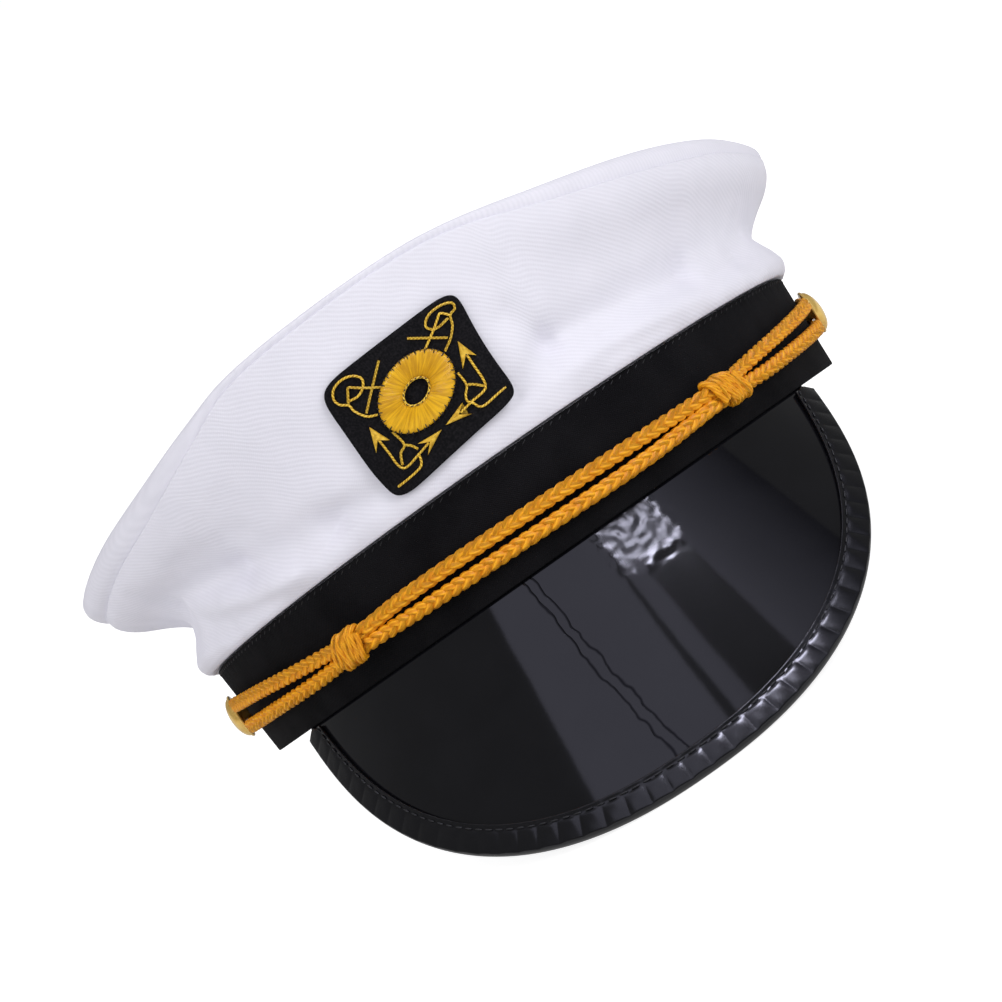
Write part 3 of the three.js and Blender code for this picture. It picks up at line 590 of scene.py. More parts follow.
def peak_face(angle):
    """Direction straight out of the peak's upper face."""
    return outwards(angle) * math.sin(PEAK_SLOPE) + UP * math.cos(PEAK_SLOPE)


def peak_point(angle, down, out):
    """Point of the peak, a distance down from the band's lower edge and out from its middle."""
    angle, down, out = np.broadcast_arrays(np.asarray(angle, float), down, out)
    fall = outwards(angle) * math.cos(PEAK_SLOPE) - UP * math.sin(PEAK_SLOPE)
    start = around(angle, BAND_WALL / 2, -CLEARANCE - PEAK_SHEET / 2)
    return start + fall * down[..., None] + peak_face(angle) * out[..., None]


def inset_place(angle, inset):
    """Place on the peak at an inset from its rim and square to it: its angle and distance down."""
    step = 0.25
    reach = peak_reach(angle)
    beside = peak_point(angle + step, reach, 0) - peak_point(angle - step, reach, 0)
    arc = np.linalg.norm(beside, axis=-1) / (2 * step)
    fall = (peak_reach(angle + step) - peak_reach(angle - step)) / (2 * step)
    slant = np.hypot(fall, arc)
    down = np.maximum(reach - inset * arc / slant, CLEARANCE)
    return angle + inset * fall / (slant * arc), down


def even_rim(count):
    """Angles at even distances along the peak's rim."""
    end = PEAK_HALF_ANGLE * (1 - (4 * BINDING_WALL / PEAK_LENGTH) ** (1 / PEAK_FALL)) ** (1 / PEAK_BREADTH)
    fine = np.linspace(-end, end, 4001)
    length = run_length(peak_point(fine, peak_reach(fine), 0), 0)
    return np.interp(np.linspace(0, length[-1], count), length, fine), length[-1]


def patent_vinyl(name, roughness, creases=()):
    """Glossy vinyl. The sheet's own also has the hairline creases, and is matt where it's crumpled."""
    material, sockets, start = finish(name, roughness)
    shade = grain(start, 20).clamped(0.3, 0.7)
    lead(shade.mixed((0.003, 0.003, 0.0042), (0.0045, 0.0045, 0.006)), sockets["Base Color"])
    height = grain(start, 3, 2.0) * 0.004 + grain(start, 25, 1.0) * 0.05
    along, down = pattern(start)
    if creases:
        aside = (along - math.radians(CRINKLE_ANGLE) * HEAD_LENGTH / 2 / MM) / MATT_SIDE
        far = start.maths("MAXIMUM", aside.maths("ABSOLUTE", aside), down / MATT_DOWN)
        matt = CRINKLE_ROUGHNESS - roughness
        lead(CRINKLE_ROUGHNESS - far.clamped(0.7, 1.0) * matt, sockets["Roughness"])
        dull = 0.0
        for place in creases:
            wander = along - down * CREASE_LEAN - place - (grain(start, 5, 1.0) - 0.5) * CREASE_WANDER
            beside = wander.maths("ABSOLUTE", wander).clamped(0.0, CREASE_WIDTH)
            height = height + beside * CREASE_DEPTH
            dull = (1 - beside) * CREASE_DULL + dull
        lead(dull, sockets["Metallic"])
    lead(height.bump(1.0 * MM), sockets["Normal"])
    return material


def crinkle(angle, down):
    """Crumpled vinyl beside the seam, where it was pushed in under the band."""
    across, along = (angle - CRINKLE_ANGLE) * CRINKLE_DEGREE, down / MM
    patch = np.exp(-((across / CRINKLE_SIDE) ** 4) - (along / CRINKLE_DOWN) ** 4)
    inside = patch > 0.001
    places = [Vector(place) for place in np.stack([across + 0 * along, along, 0 * patch], -1)[inside]]
    rough = np.zeros(patch.shape)
    for size, deep in CRINKLE_DENTS:
        rough[inside] += [deep * noise.noise(place / size) for place in places]
    return CRINKLE * patch * rough


def peak_sections():
    rim_angles, _ = even_rim(PEAK_COLUMNS)
    angle, reach = inset_place(rim_angles, BINDING_WALL + CLEARANCE)
    shares = np.append(np.linspace(0, 0.999, PEAK_ROWS - 1), 1)[None, :]
    sine, half = math.sin(PEAK_SLOPE), PEAK_SHEET / 2
    gap = CLEARANCE + half - PEAK_SEAT
    face_top = (half * math.cos(PEAK_SLOPE) - gap) / sine
    back_top = (-half * math.cos(PEAK_SLOPE) - gap) / sine
    face_down = reach[:, None] * (1 - shares) + face_top * shares
    face = peak_point(angle[:, None], face_down, half + crinkle(angle[:, None], face_down))
    back_down = reach[:, None] * (1 - shares) + back_top * shares
    back = peak_point(angle[:, None], back_down[:, ::-2], -half)
    flat_down = np.concatenate([face_down, back_down[:, ::-2]], 1)
    flat_along = np.radians(angle[:, None]) * HEAD_LENGTH / 2 + 0 * flat_down
    return np.concatenate([face, back], 1), np.stack([flat_along, flat_down], -1)


sheet, sheet_pattern = peak_sections()
peak = lofted("peak_sheet", sheet, False, flat=sheet_pattern)
peak.data.materials.append(patent_vinyl("patent_vinyl", 0.07, CREASE_PLACES))
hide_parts("visor")
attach(peak, "root")

# Binding: a tape of thinner vinyl folded over the peak's rim and stitched through, which pulls
# it into a row of small pillows.
BINDING_COLUMNS = 900
BINDING_STITCH = 6.2 * MM
STITCH_INSET = 6.3 * MM
PILLOW = 0.42 * MM
PILLOW_SLANT = 0.07 * MM
STITCH_PULL = 0.25 * MM


def binding_sections():
    angles, length = even_rim(BINDING_COLUMNS)
    along = np.linspace(0, length, BINDING_COLUMNS)[:, None]
    place = along + 1.1 * MM * np.sin(along / (19 * MM)) + 0.6 * MM * np.sin(along / (7 * MM))
    pillow = np.abs(np.sin(math.pi * place / BINDING_STITCH)) ** 0.85
    inside = PEAK_SHEET / 2 + CLEARANCE
    thick = inside + BINDING_WALL
    insets = np.linspace(BINDING_WIDTH, BINDING_WALL, 24)[None, :]
    across_tape = insets / BINDING_WIDTH
    puffed = np.sin(math.pi * np.clip(across_tape * 1.15, 0, 1)) ** 0.8
    slant = np.sin(2 * math.pi * place / BINDING_STITCH + 4 * across_tape) * PILLOW_SLANT * puffed
    stitch_line = np.exp(-(((insets - STITCH_INSET) / (0.7 * MM)) ** 2))
    raised = PILLOW * (pillow - 0.35) * puffed + slant - STITCH_PULL * stitch_line * (0.4 + 0.6 * pillow)
    turn = np.radians(np.linspace(15, 165, 9))[None, :]
    bend = [BINDING_WALL * (1 - np.sin(turn)), thick * np.cos(turn)]
    lower = np.linspace(BINDING_WALL, BINDING_WIDTH, 8)[None, :]
    fold_insets = np.array([[BINDING_WIDTH, BINDING_WALL, BINDING_WALL, BINDING_WIDTH]])
    fold = [fold_insets, inside * np.array([[-1, -1, 1, 1]])]
    parts = [(insets, thick + raised), tuple(bend), (lower, -thick + 0 * lower), tuple(fold)]
    inset = np.concatenate([np.broadcast_to(a, (len(along), a.shape[1])) for a, _ in parts], 1)
    out = np.concatenate([np.broadcast_to(b, (len(along), b.shape[1])) for _, b in parts], 1)
    place, down = inset_place(angles[:, None], inset)
    return peak_point(place, down, out)


binding = lofted("peak_binding", binding_sections(), False)
binding.data.materials.append(patent_vinyl("binding_vinyl", 0.23))
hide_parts("visor_binding")
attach(binding, "root")

# Chin cord: one loop of gold rayon plait, laid double across the front of the band from button
# to button and pressed flat under them. It can't fall, as the buttons and the knots hold it.
CORD = 3.8 * MM
CORD_PRESSED = 0.55
KNOT_LENGTH = 10.5 * MM
KNOT_WALL = 1.2 * MM
BUTTON_DIAMETER = 13 * MM
BUTTON_DOME = 2.7 * MM
BUTTON_EDGE = 0.8 * MM
BUTTON_NECK = 2.3 * MM
SHANK_DIAMETER = 3.4 * MM
PLAIT_PITCH = 8.7 * MM
PLAIT_WIDTH = 1.05 * MM
PLAIT_DEPTH = 0.42 * MM
PLAIT_STRAND = 1.0 * MM
CORD_STEPS = 400
TURN_STEPS = 24

# Heights of the cord's two runs on the band, as shares of the band's front height.
RUNS = table(
    "angle upper lower",
    (-90, 0.62, 0.36),
    (-62, 0.555, 0.33),
    (-44, 0.475, 0.31),
    (-34, 0.438, 0.326),
    (-22, 0.47, 0.3),
    (0, 0.45, 0.265),
    (20, 0.42, 0.25),
    (37, 0.41, 0.298),
    (50, 0.47, 0.29),
    (90, 0.65, 0.39),
)
KNOTS = table("angle slant", (-34, 1.6), (37, -2.0))


def run_height(angle, run):
    return BAND_FRONT_HEIGHT * read(RUNS, "angle", run, np.asarray(angle, float))


def cord_middle(angle):
    return (run_height(angle, "upper") + run_height(angle, "lower")) / 2


def side_arc(length):
    """Degrees round the band for a length along its side."""
    return np.degrees(length / (HEAD_LENGTH / 2 + BAND_WALL))


def path_mesh(name, lines, closed, **amounts):
    """Lines for a rule to follow: the points of each, and the direction away from the cloth there. The
    amounts are how far a line is squeezed at its points, and 1 or -1 for which way round its strands
    pass over each other."""
    mesh = bpy.data.meshes.new(name)
    edges, start = [], 0
    for points, _ in lines:
        count = len(points)
        edges += [(start + i, start + (i + 1) % count) for i in range(count if closed else count - 1)]
        start += count
    mesh.from_pydata(at_rest(np.concatenate([points for points, _ in lines])), edges, [])
    out = np.concatenate([out for _, out in lines]) @ np.array(turn_to_rest).T
    away = mesh.attributes.new("out", "FLOAT_VECTOR", "POINT")
    away.data.foreach_set("vector", out.astype(np.float32).ravel())
    for label in ("squeeze", "over"):
        amount = mesh.attributes.new(label, "FLOAT", "POINT")
        amount.data.foreach_set("value", amounts.get(label, np.ones(start)).astype(np.float32))
    return mesh


def cord_path():
    across = np.linspace(-90, 90, CORD_STEPS)
    turned = np.radians(np.linspace(90, -90, TURN_STEPS)[1:-1])
    angle, height = [], []
    for side, run, order in ((1, "upper", 1), (-1, "lower", -1)):
        middle = cord_middle(90.0 * side)
        radius = run_height(90.0 * side, "upper") - middle
        angle += [order * across, side * (90 + side_arc(radius * np.cos(turned)))]
        height += [run_height(order * across, run), middle + order * radius * np.sin(turned)]
    angle, height = np.concatenate(angle), np.concatenate(height)
    near_button = 90 - side_arc(BUTTON_DIAMETER / 2 + CLEARANCE) - 3
    pressed = smoothstep(np.abs(angle), near_button - side_arc(2 * CORD), near_button)
    squeeze = 1 - (1 - CORD_PRESSED) * pressed
    from_knot = np.min([np.abs(angle - knot) for knot in KNOTS["angle"]], 0)
    full_lift = side_arc(KNOT_LENGTH / 2)
    lift = (KNOT_WALL + CLEARANCE) * (1 - smoothstep(from_knot, full_lift, 2.2 * full_lift))
    out = BAND_WALL + band_flare(angle, height) + CLEARANCE + lift + squeeze * CORD / 2
    upper = height > cord_middle(angle)
    left_knot, right_knot = KNOTS["angle"]
    beyond = np.where(upper, left_knot - angle, angle - right_knot)
    over = 1 - 2 * smoothstep(beyond, -1, 1)
    line = (around(angle, out, height), outwards(angle))
    return path_mesh("cord_path", [line], True, squeeze=squeeze, over=over)


def rule(name, sizes):
    """A Geometry Nodes tree with named inputs for its sizes and its finish, and wires from them."""
    tree = bpy.data.node_groups.new(name, "GeometryNodeTree")
    tree.interface.new_socket("Geometry", in_out="OUTPUT", socket_type="NodeSocketGeometry")
    kinds = {"Geometry": "Geometry", **dict.fromkeys(sizes.split(), "Float"), "Finish": "Material"}
    for label, kind in kinds.items():
        tree.interface.new_socket(label, in_out="INPUT", socket_type="NodeSocket" + kind)
    entry = tree.nodes.new("NodeGroupInput")
    return tree, {socket.name: Wire(tree, socket) for socket in entry.outputs if socket.name}


def close_rule(tree, made, material):
    """Ends a tree with its real geometry, shaded smooth, and its material."""
    made = made.node("GeometryNodeRealizeInstances", {"Geometry": made})
    made = made.node("GeometryNodeSetShadeSmooth", {"Geometry": made})
    made = made.node("GeometryNodeSetMaterial", {"Geometry": made, "Material": material})
    leave = tree.nodes.new("NodeGroupOutput")
    tree.links.new(made.socket, leave.inputs["Geometry"])


def grown(name, tree, path, **values):
    """Runs a tree on a path and keeps the result as a plain piece."""
    piece = in_scene(name, path)
    modifier = piece.modifiers.new("rule", "NODES")
    modifier.node_group = tree
    for item in tree.interface.items_tree:
        if item.in_out == "INPUT" and item.name in values:
            modifier[item.identifier] = values[item.name]
    evaluated = piece.evaluated_get(bpy.context.evaluated_depsgraph_get())
    mesh = bpy.data.meshes.new_from_object(evaluated)
    mesh.name = name
    piece.modifiers.clear()
    piece.data = mesh
    return piece


def kept(start, name, kind="FLOAT"):
    """An amount that the path's points carry."""
    return start.node("GeometryNodeInputNamedAttribute", {"Name": name}, data_type=kind)


def fibre_parts(path, radius):
    """The path's curve, the length along it and a strand's round section. Both curves keep where their
    points lie along and round the strand, for its finish to lay the fibres by."""
    length, turn = (path.node("GeometryNodeSplineParameter", output=n) for n in (1, 0))
    curve = path.node("GeometryNodeMeshToCurve", {"Mesh": path})
    circle = path.node("GeometryNodeCurvePrimitiveCircle", {"Resolution": 8, "Radius": radius})
    marked = []
    for line, name, place in ((curve, "fibre_run", length), (circle, "fibre_turn", turn)):
        inputs = {"Geometry": line, "Name": name, "Value": place}
        marked.append(path.node("GeometryNodeStoreNamedAttribute", inputs, data_type="FLOAT"))
    return marked[0], length, marked[1]


def plait_rule():
    """Three strands that pass over and under each other along a path."""
    tree, given = rule("plait", "Pitch Width Depth Strand")
    path = given["Geometry"]
    curve, length, profile = fibre_parts(path, given["Strand"])
    phase = length / given["Pitch"] * (2 * math.pi)
    out, squeeze, over = kept(path, "out", "FLOAT_VECTOR"), kept(path, "squeeze"), kept(path, "over")
    tangent = path.node("GeometryNodeInputTangent")
    across = path.node("ShaderNodeVectorMath", {0: tangent, 1: out}, operation="CROSS_PRODUCT")
    joined = tree.nodes.new("GeometryNodeJoinGeometry")
    for strand in range(3):
        own = phase + strand * 2 * math.pi / 3
        aside = own.maths("SINE", own) * given["Width"]
        deep = own.maths("SINE", own * 2) * given["Depth"] * squeeze * over
        aside = path.node("ShaderNodeVectorMath", {0: across, "Scale": aside}, operation="SCALE")
        deep = path.node("ShaderNodeVectorMath", {0: out, "Scale": deep}, operation="SCALE")
        offset = path.node("ShaderNodeVectorMath", {0: aside, 1: deep}, operation="ADD")
        moved = path.node("GeometryNodeSetPosition", {"Geometry": curve, "Offset": offset})
        tube = {"Curve": moved, "Profile Curve": profile, "Scale": squeeze * 0.5 + 0.5, "Fill Caps": True}
        tree.links.new(path.node("GeometryNodeCurveToMesh", tube).socket, joined.inputs[0])
    close_rule(tree, Wire(tree, joined.outputs[0]), given["Finish"])
    return tree


def fibres(start):
    """Where a place lies round its strand, in turns, and along it, in millimetres."""
    turn, run = (start.node("ShaderNodeAttribute", attribute_name=name, output=2)
                 for name in ("fibre_turn", "fibre_run"))
    return turn, run / MM


def gold_cord():
    """Gold rayon: each strand is a bundle of fine twisted threads. Its colour is lighter on their crowns
    and darker between them, a painted highlight and painted shade over uneven tone.
    """
    material, sockets, start = finish("gold_rayon", 0.55, Specular_IOR_Level=0.35)
    turn, run = fibres(start)
    thread = start.maths("SINE", (turn * 5 + run * 0.35) * (2 * math.pi))
    # The threads' crowns are painted lighter as a painted highlight and their grooves darker as painted
    # shade; the grain is the rayon's own uneven tone.
    tint = (thread * 0.22 + grain(start, 2.2) * 1.0).clamped(0.1, 0.95)
    lead(tint.mixed((0.66, 0.22, 0.002), (0.92, 0.43, 0.012)), sockets["Base Color"])
    lead((thread * 0.6 + grain(start, 0.35)).bump(0.1 * MM), sockets["Normal"])
    return material


gold = gold_cord()
plait = plait_rule()
path = cord_path()
path_points = np.array([vertex.co for vertex in path.vertices])
cord_length = run_length(np.concatenate([path_points, path_points[:1]]), 0)[-1]
even_pitch = cord_length / round(cord_length / PLAIT_PITCH)
sizes = {"Pitch": float(even_pitch), "Width": PLAIT_WIDTH, "Depth": PLAIT_DEPTH, "Strand": PLAIT_STRAND}
chin_cord = grown("chin_cord_plait", plait, path, Finish=gold, **sizes)
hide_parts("chin_cord")
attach(chin_cord, "root")

# Knots: the same plait wound three times round both runs and drawn tight, so that its turns lie
# aslant, full in front of the band and pressed thin behind the runs.
KNOT_TURNS = 3
KNOT_STEPS = 64
KNOT_TAIL = 0.4
KNOT_PLAIT = {"Pitch": 26 * MM, "Width": 0.95 * MM, "Depth": 0.3 * MM, "Strand": 0.85 * MM}


def knot_path(angle, slant):
    """Windings round the two runs, full in front and pressed thin behind them."""
    middle = cord_middle(angle)
    spread = run_height(angle, "upper") - middle
    turned = np.linspace(-KNOT_TAIL, 2 * math.pi * KNOT_TURNS + KNOT_TAIL, KNOT_STEPS * KNOT_TURNS)
    front = 0.5 + 0.5 * np.cos(turned)
    squeeze = 0.1 + 0.6 * smoothstep(front, 0.1, 0.6)
    hole = CORD / 2 - 0.4 * MM
    radius = hole + squeeze * (PLAIT_DEPTH + PLAIT_STRAND)
    share = turned / (2 * math.pi * KNOT_TURNS) - 0.5
    along = share * (KNOT_LENGTH - 3.4 * MM) + slant * MM * np.sin(turned)
    height = middle + radius * np.sin(turned) + spread * np.clip(2.5 * np.sin(turned), -1, 1)
    centre_out = BAND_WALL + band_flare(angle, middle) + 2 * CLEARANCE + KNOT_WALL + CORD / 2
    angle = angle + side_arc(along)
    places = around(angle, centre_out + radius * np.cos(turned), height)
    out = outwards(angle) * np.cos(turned)[:, None] + UP * np.sin(turned)[:, None]
    return path_mesh("knot_path", [(places, out)], False, squeeze=squeeze)


for name, angle, slant in zip(("left", "right"), KNOTS["angle"], KNOTS["slant"]):
    knot = grown("knot_windings_" + name, plait, knot_path(angle, slant), Finish=gold, **KNOT_PLAIT)
    knot.visible_glossy = False
    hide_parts("knot_" + name)
    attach(knot, "root")

# Buttons: stamped brass shells with a rolled rim and a domed middle, fixed through the band on a
# short shank that holds the cord's end.
BUTTON_STEPS = 96


def brass():
    material, sockets, start = finish("stamped_brass", 0.22, Metallic=0.5)
    tarnish = grain(start, 3).clamped(0.35, 0.75)
    lead(tarnish.mixed((0.88, 0.6, 0.17), (0.75, 0.46, 0.11)), sockets["Base Color"])
    lead(grain(start, 1.2).clamped(0.2, 0.8) * 0.12 + 0.16, sockets["Roughness"])
    lead(grain(start, 0.8).bump(0.02 * MM), sockets["Normal"])
    return material


def button_sections(side):
    """Half profile of the button, turned round its shank."""
    radius = BUTTON_DIAMETER / 2
    roll = np.radians(np.linspace(-90, 90, 9))
    bend = BUTTON_EDGE / 2
    edge = np.stack([radius - bend * (1 - np.cos(roll)), bend * (1 + np.sin(roll))], -1)
    dome_turn = np.radians(np.linspace(0, 90, 16))
    inner = radius - 0.5 * MM
    dome = np.stack([inner * np.cos(dome_turn), BUTTON_EDGE * 0.7 + BUTTON_DOME * np.sin(dome_turn)], -1)
    lift = np.array([0, BUTTON_NECK])
    shank = np.array([[0, 0], [SHANK_DIAMETER / 2, 0], [SHANK_DIAMETER / 2, BUTTON_NECK]])
    profile = np.concatenate([shank, edge + lift, dome + lift])
    turned = np.linspace(0, 2 * math.pi, BUTTON_STEPS, endpoint=False)[:, None]
    height = cord_middle(90.0 * side)
    foot = around(90.0 * side, BAND_WALL + band_flare(90, height) + CLEARANCE, height)
    reach = profile[None, :, 1] + 0 * turned
    ring = profile[None, :, 0]
    return foot + np.stack([side * reach, ring * np.cos(turned), ring * np.sin(turned)], -1)


brass_finish = brass()
for name, side in (("left", -1), ("right", 1)):
    button = lofted("button_shell_" + name, button_sections(side), True)
    button.data.materials.append(brass_finish)
    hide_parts("button_" + name)
    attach(button, "root")

# Badge patch: black felted cloth on a stiff backing, hemmed and tacked to the crown's front, where
# its lower right corner has pulled up.
BADGE_CLOTH = 1 * MM
BADGE_CENTRE_HEIGHT = 50.5 * MM
BADGE_CENTRE_ANGLE = -2.6
BADGE_SQUARENESS = 8
BADGE_CLEARANCE = 0.6 * MM
BADGE_COLUMNS = 220
BADGE_DIP = 1.1
BADGE_WAVE = 0.25 * MM
BADGE_CURL = 0.9 * MM

# Corners of the patch from its middle, in millimetres, for the right and the upper side at 1.
BADGE_CORNERS = table(
    "right upper across up",
    (-1, 1, -18.9, 14.8),
    (1, 1, 20.6, 16.4),
    (1, -1, 19.4, -13.2),
    (-1, -1, -20.1, -18.2),
)


def on_crown(across, up, lift):
    """Point on the crown's front, from the badge's middle, at a height off the cloth."""
    across, up, lift = np.broadcast_arrays(np.asarray(across, float), up, lift)
    radius = HEAD_WIDTH / 2 + rim_out(BADGE_CENTRE_ANGLE) * (HEAD_LENGTH / HEAD_WIDTH) / 2
    angle = BADGE_CENTRE_ANGLE + np.degrees(across / radius)
    rise = (BADGE_CENTRE_HEIGHT + up - band_top(angle)) / rim_rise(angle)
    beside = crown_point(angle + 1, rise, 0) - crown_point(angle - 1, rise, 0)
    above = crown_point(angle, rise + 0.04, 0) - crown_point(angle, rise - 0.04, 0)
    normal = np.cross(beside, above)
    normal /= np.linalg.norm(normal, axis=-1, keepdims=True)
    return crown_point(angle, rise, 0) + normal * lift[..., None]


def patch_place(turned, size):
    """Place on the patch, pulled askew by its four corners."""
    x, y = np.cos(turned), np.sin(turned)
    power = BADGE_SQUARENESS
    square = size * (np.abs(x) ** power + np.abs(y) ** power) ** (-1 / power)
    x, y = x * square, y * square
    across, up = 0, 0
    for right, upper, corner_across, corner_up in zip(*BADGE_CORNERS.values()):
        weight = (1 + right * x) * (1 + upper * y) / 4
        across, up = across + weight * corner_across, up + weight * corner_up
    across = across - BADGE_DIP * np.maximum(x, 0) * (1 - y * y)
    return across * MM, up * MM


def patch_sections():
    turned = np.linspace(0, 2 * math.pi, BADGE_COLUMNS, endpoint=False)[:, None]
    face, edge = [0, 0.25, 0.5, 0.7, 0.82, 0.88, 0.92], [0.95, 0.975, 0.993, 1.0]
    size = np.array([[*face, *edge, 1.0, 0.993, 0.9, 0.5, 0.0]])
    thick = np.array([[1, 1, 1, 1, 1, 1, 0.98, 1.08, 1.12, 1.0, 0.7, 0.3, 0.05, 0, 0, 0]])
    across, up = patch_place(turned, size)
    wave = BADGE_WAVE * np.sin(across / (5 * MM) + 1) * np.sin(up / (6 * MM)) * size**2
    curl = BADGE_CURL * smoothstep(across - up, 22 * MM, 34 * MM)
    return on_crown(across, up, BADGE_CLEARANCE + BADGE_CLOTH * thick + wave + curl)


def badge_cloth():
    material, sockets, start = finish("badge_felt", 0.95, Specular_IOR_Level=0.15)
    nap = grain(start, 0.5, 4.0)
    tint = nap.clamped(0.35, 0.75)
    lead(tint.mixed((0.004, 0.004, 0.005), (0.013, 0.012, 0.014)), sockets["Base Color"])
    lead((nap + grain(start, 3) * 0.6).bump(0.18 * MM), sockets["Normal"])
    return material


patch = lofted("badge_felt_patch", patch_sections(), True)
patch.data.materials.append(badge_cloth())
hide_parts("badge_patch")
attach(patch, "root")

# Badge anchors: two crossed anchors with their ropes, laid in gold thread and caught down on the
# patch, and flukes filled with satin stitch.
THREAD = 0.31 * MM
THREAD_LIFT = BADGE_CLEARANCE + BADGE_CLOTH + 0.2 * MM
THREAD_STEP = 0.35
THREAD_CROSSING = 0.04 * MM
FLUKE_THICK = 0.55 * MM
FLUKE_SUNK = 0.15 * MM
FLUKE_SOLE_SUNK = 0.18 * MM

# Threads of the two anchors from the badge's middle, in millimetres: a row of points each.
ANCHOR_THREADS = [
    [(-12.2, 3.8), (-2.9, 12.2)],
    [(-10.3, 1.9), (-12.6, 3.1), (-14.2, 5.9), (-14.4, 7.7), (-16.0, 9.1), (-16.4, 10.9), (-15.0, 12.9),
     (-12.2, 13.6), (-9.6, 12.8), (-8.4, 11.0), (-9.4, 9.2), (-11.5, 8.2), (-13.8, 8.5)],
    [(-14.2, 8.2), (-12.9, 10.2), (-12.1, 11.2), (-11.0, 10.4), (-9.4, 9.1), (-4.3, 5.6)],
    [(-13.6, -3.0), (-13.5, -7.0), (-13.4, -10.6), (-12.4, -12.0), (-8.3, -11.3), (-4.6, -10.4)],
    [(-9.9, -3.4), (-9.5, -7.5), (-11.3, -8.6), (-12.6, -11.0)],
    [(-9.5, -7.5), (-8.2, -8.7), (-7.5, -10.1)],
    [(-8.0, -11.0), (-8.7, -13.1), (-9.9, -14.0), (-16.4, -14.8)],
    [(5.1, 12.6), (12.6, 7.3)],
    [(10.4, 5.0), (13.1, 6.8), (15.1, 9.1), (16.0, 11.4), (17.6, 12.1), (17.9, 13.4), (16.5, 14.3),
     (13.8, 14.6), (11.4, 14.0), (10.0, 12.4), (10.8, 11.0), (12.4, 10.6), (15.2, 11.1)],
    [(15.9, 11.4), (14.9, 12.6), (14.1, 13.1), (13.2, 12.4), (10.7, 10.5), (6.4, 7.7)],
    [(14.0, 1.4), (14.0, -2.0), (13.9, -6.2), (13.0, -7.7), (8.9, -8.3), (5.4, -8.9)],
    [(10.0, -0.9), (10.1, -4.4), (8.6, -6.3), (8.2, -7.6), (9.1, -8.9), (9.8, -10.3), (11.4, -10.7),
     (17.2, -9.7)],
    [(10.1, -4.4), (11.5, -5.2), (13.3, -6.9)],
]

# Flukes: the tip, the notch and the two barbs of each, in the same millimetres.
FLUKES = table(
    "tip_x tip_y notch_x notch_y left_x left_y right_x right_y",
    (-13.6, 0.7, -13.8, -2.9, -16.0, -5.3, -11.6, -4.6),
    (-0.4, -9.6, -4.2, -10.3, -6.9, -9.1, -6.6, -12.7),
    (14.1, 5.3, 13.9, 1.7, 11.5, -0.9, 15.8, 0.0),
    (0.9, -9.3, 4.8, -9.0, 7.5, -10.7, 7.1, -7.2),
)

# Padding under a fluke from its left edge, -1, to its right edge, 1: the place and how thick it is.
FLUKE_PADDING = [(-1, 0.1), (-0.7, 0.75), (-0.4, 1.0), (-0.15, 1.1), (0, 0.8), (0.15, 1.1), (0.4, 1.0),
                 (0.7, 0.75), (1, 0.1)]


def smooth_line(points, step):
    """A smooth line through points, at even steps."""
    points = np.array(points)
    at = run_length(points, 0)
    rows = {"at": at, "x": points[:, 0], "y": points[:, 1]}
    places = np.linspace(0, at[-1], max(3, round(at[-1] / step)))
    return np.stack([read(rows, "at", "x", places), read(rows, "at", "y", places)], -1)


def thread_tree():
    """A round thread along each line of a path."""
    tree, given = rule("thread", "Radius")
    path = given["Geometry"]
    curve, _, profile = fibre_parts(path, given["Radius"])
    tube = {"Curve": curve, "Profile Curve": profile, "Fill Caps": True}
    close_rule(tree, path.node("GeometryNodeCurveToMesh", tube), given["Finish"])
    return tree


def badge_line(points, lift):
    """Points and outward directions of a line laid on the badge."""
    across, up = points[:, 0] * MM, points[:, 1] * MM
    low, high = on_crown(across, up, lift), on_crown(across, up, lift + MM)
    return low, (high - low) / MM


def gold_thread():
    material, sockets, start = finish("gold_thread", 0.42, Specular_IOR_Level=0.4)
    turn, run = fibres(start)
    ply = start.maths("SINE", (turn * 2 + run * 1.1) * (2 * math.pi))
    # The ply's twists are painted lighter on their crowns and darker in their grooves, as a painted
    # highlight and painted shade; the grain is the thread's own uneven tone.
    tint = (ply * 0.3 + grain(start, 1.0, 4.0)).clamped(0.15, 0.95)
    lead(tint.mixed((0.47, 0.24, 0.007), (1.0, 0.68, 0.08)), sockets["Base Color"])
    lead(ply.bump(0.06 * MM), sockets["Normal"])
    return material


def fluke_sections(fluke):
    """A satin-stitched arrowhead: threads from its middle line out to its two edges."""
    tip, notch, left, right = (np.array([fluke[k], fluke[k + 1]]) for k in (0, 2, 4, 6))
    share = np.linspace(0.02, 1, 40)
    reach = share[:, None] * MM
    middle, left_edge, right_edge = (tip * MM + (end - tip) * reach for end in (notch, left, right))
    thick = FLUKE_THICK * (0.925 + 0.075 * np.cos(share * 20 * math.pi))
    sections = []
    for side, high in FLUKE_PADDING:
        first, last = (middle, left_edge) if side < 0 else (middle, right_edge)
        place = first + (last - first) * abs(side)
        sections.append(on_crown(*place.T, THREAD_LIFT - FLUKE_SUNK + thick * high))
    sole = (right_edge, middle, left_edge)
    sections += [on_crown(*edge.T, THREAD_LIFT - FLUKE_SOLE_SUNK) for edge in sole]
    return np.stack(sections, 1)


thread = gold_thread()
thread_rule = thread_tree()
lines = [badge_line(smooth_line(points, THREAD_STEP), THREAD_LIFT + THREAD_CROSSING * (n % 4))
         for n, points in enumerate(ANCHOR_THREADS)]
anchor_lines = path_mesh("anchor_lines", lines, False)
anchors = grown("anchor_threads", thread_rule, anchor_lines, Radius=THREAD, Finish=thread)
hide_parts("badge_anchors")
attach(anchors, "root")
for n, fluke in enumerate(zip(*FLUKES.values())):
    satin = lofted("anchor_fluke_%d" % (n + 1), fluke_sections(fluke), False)
    satin.data.materials.append(thread)
    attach(satin, "root")

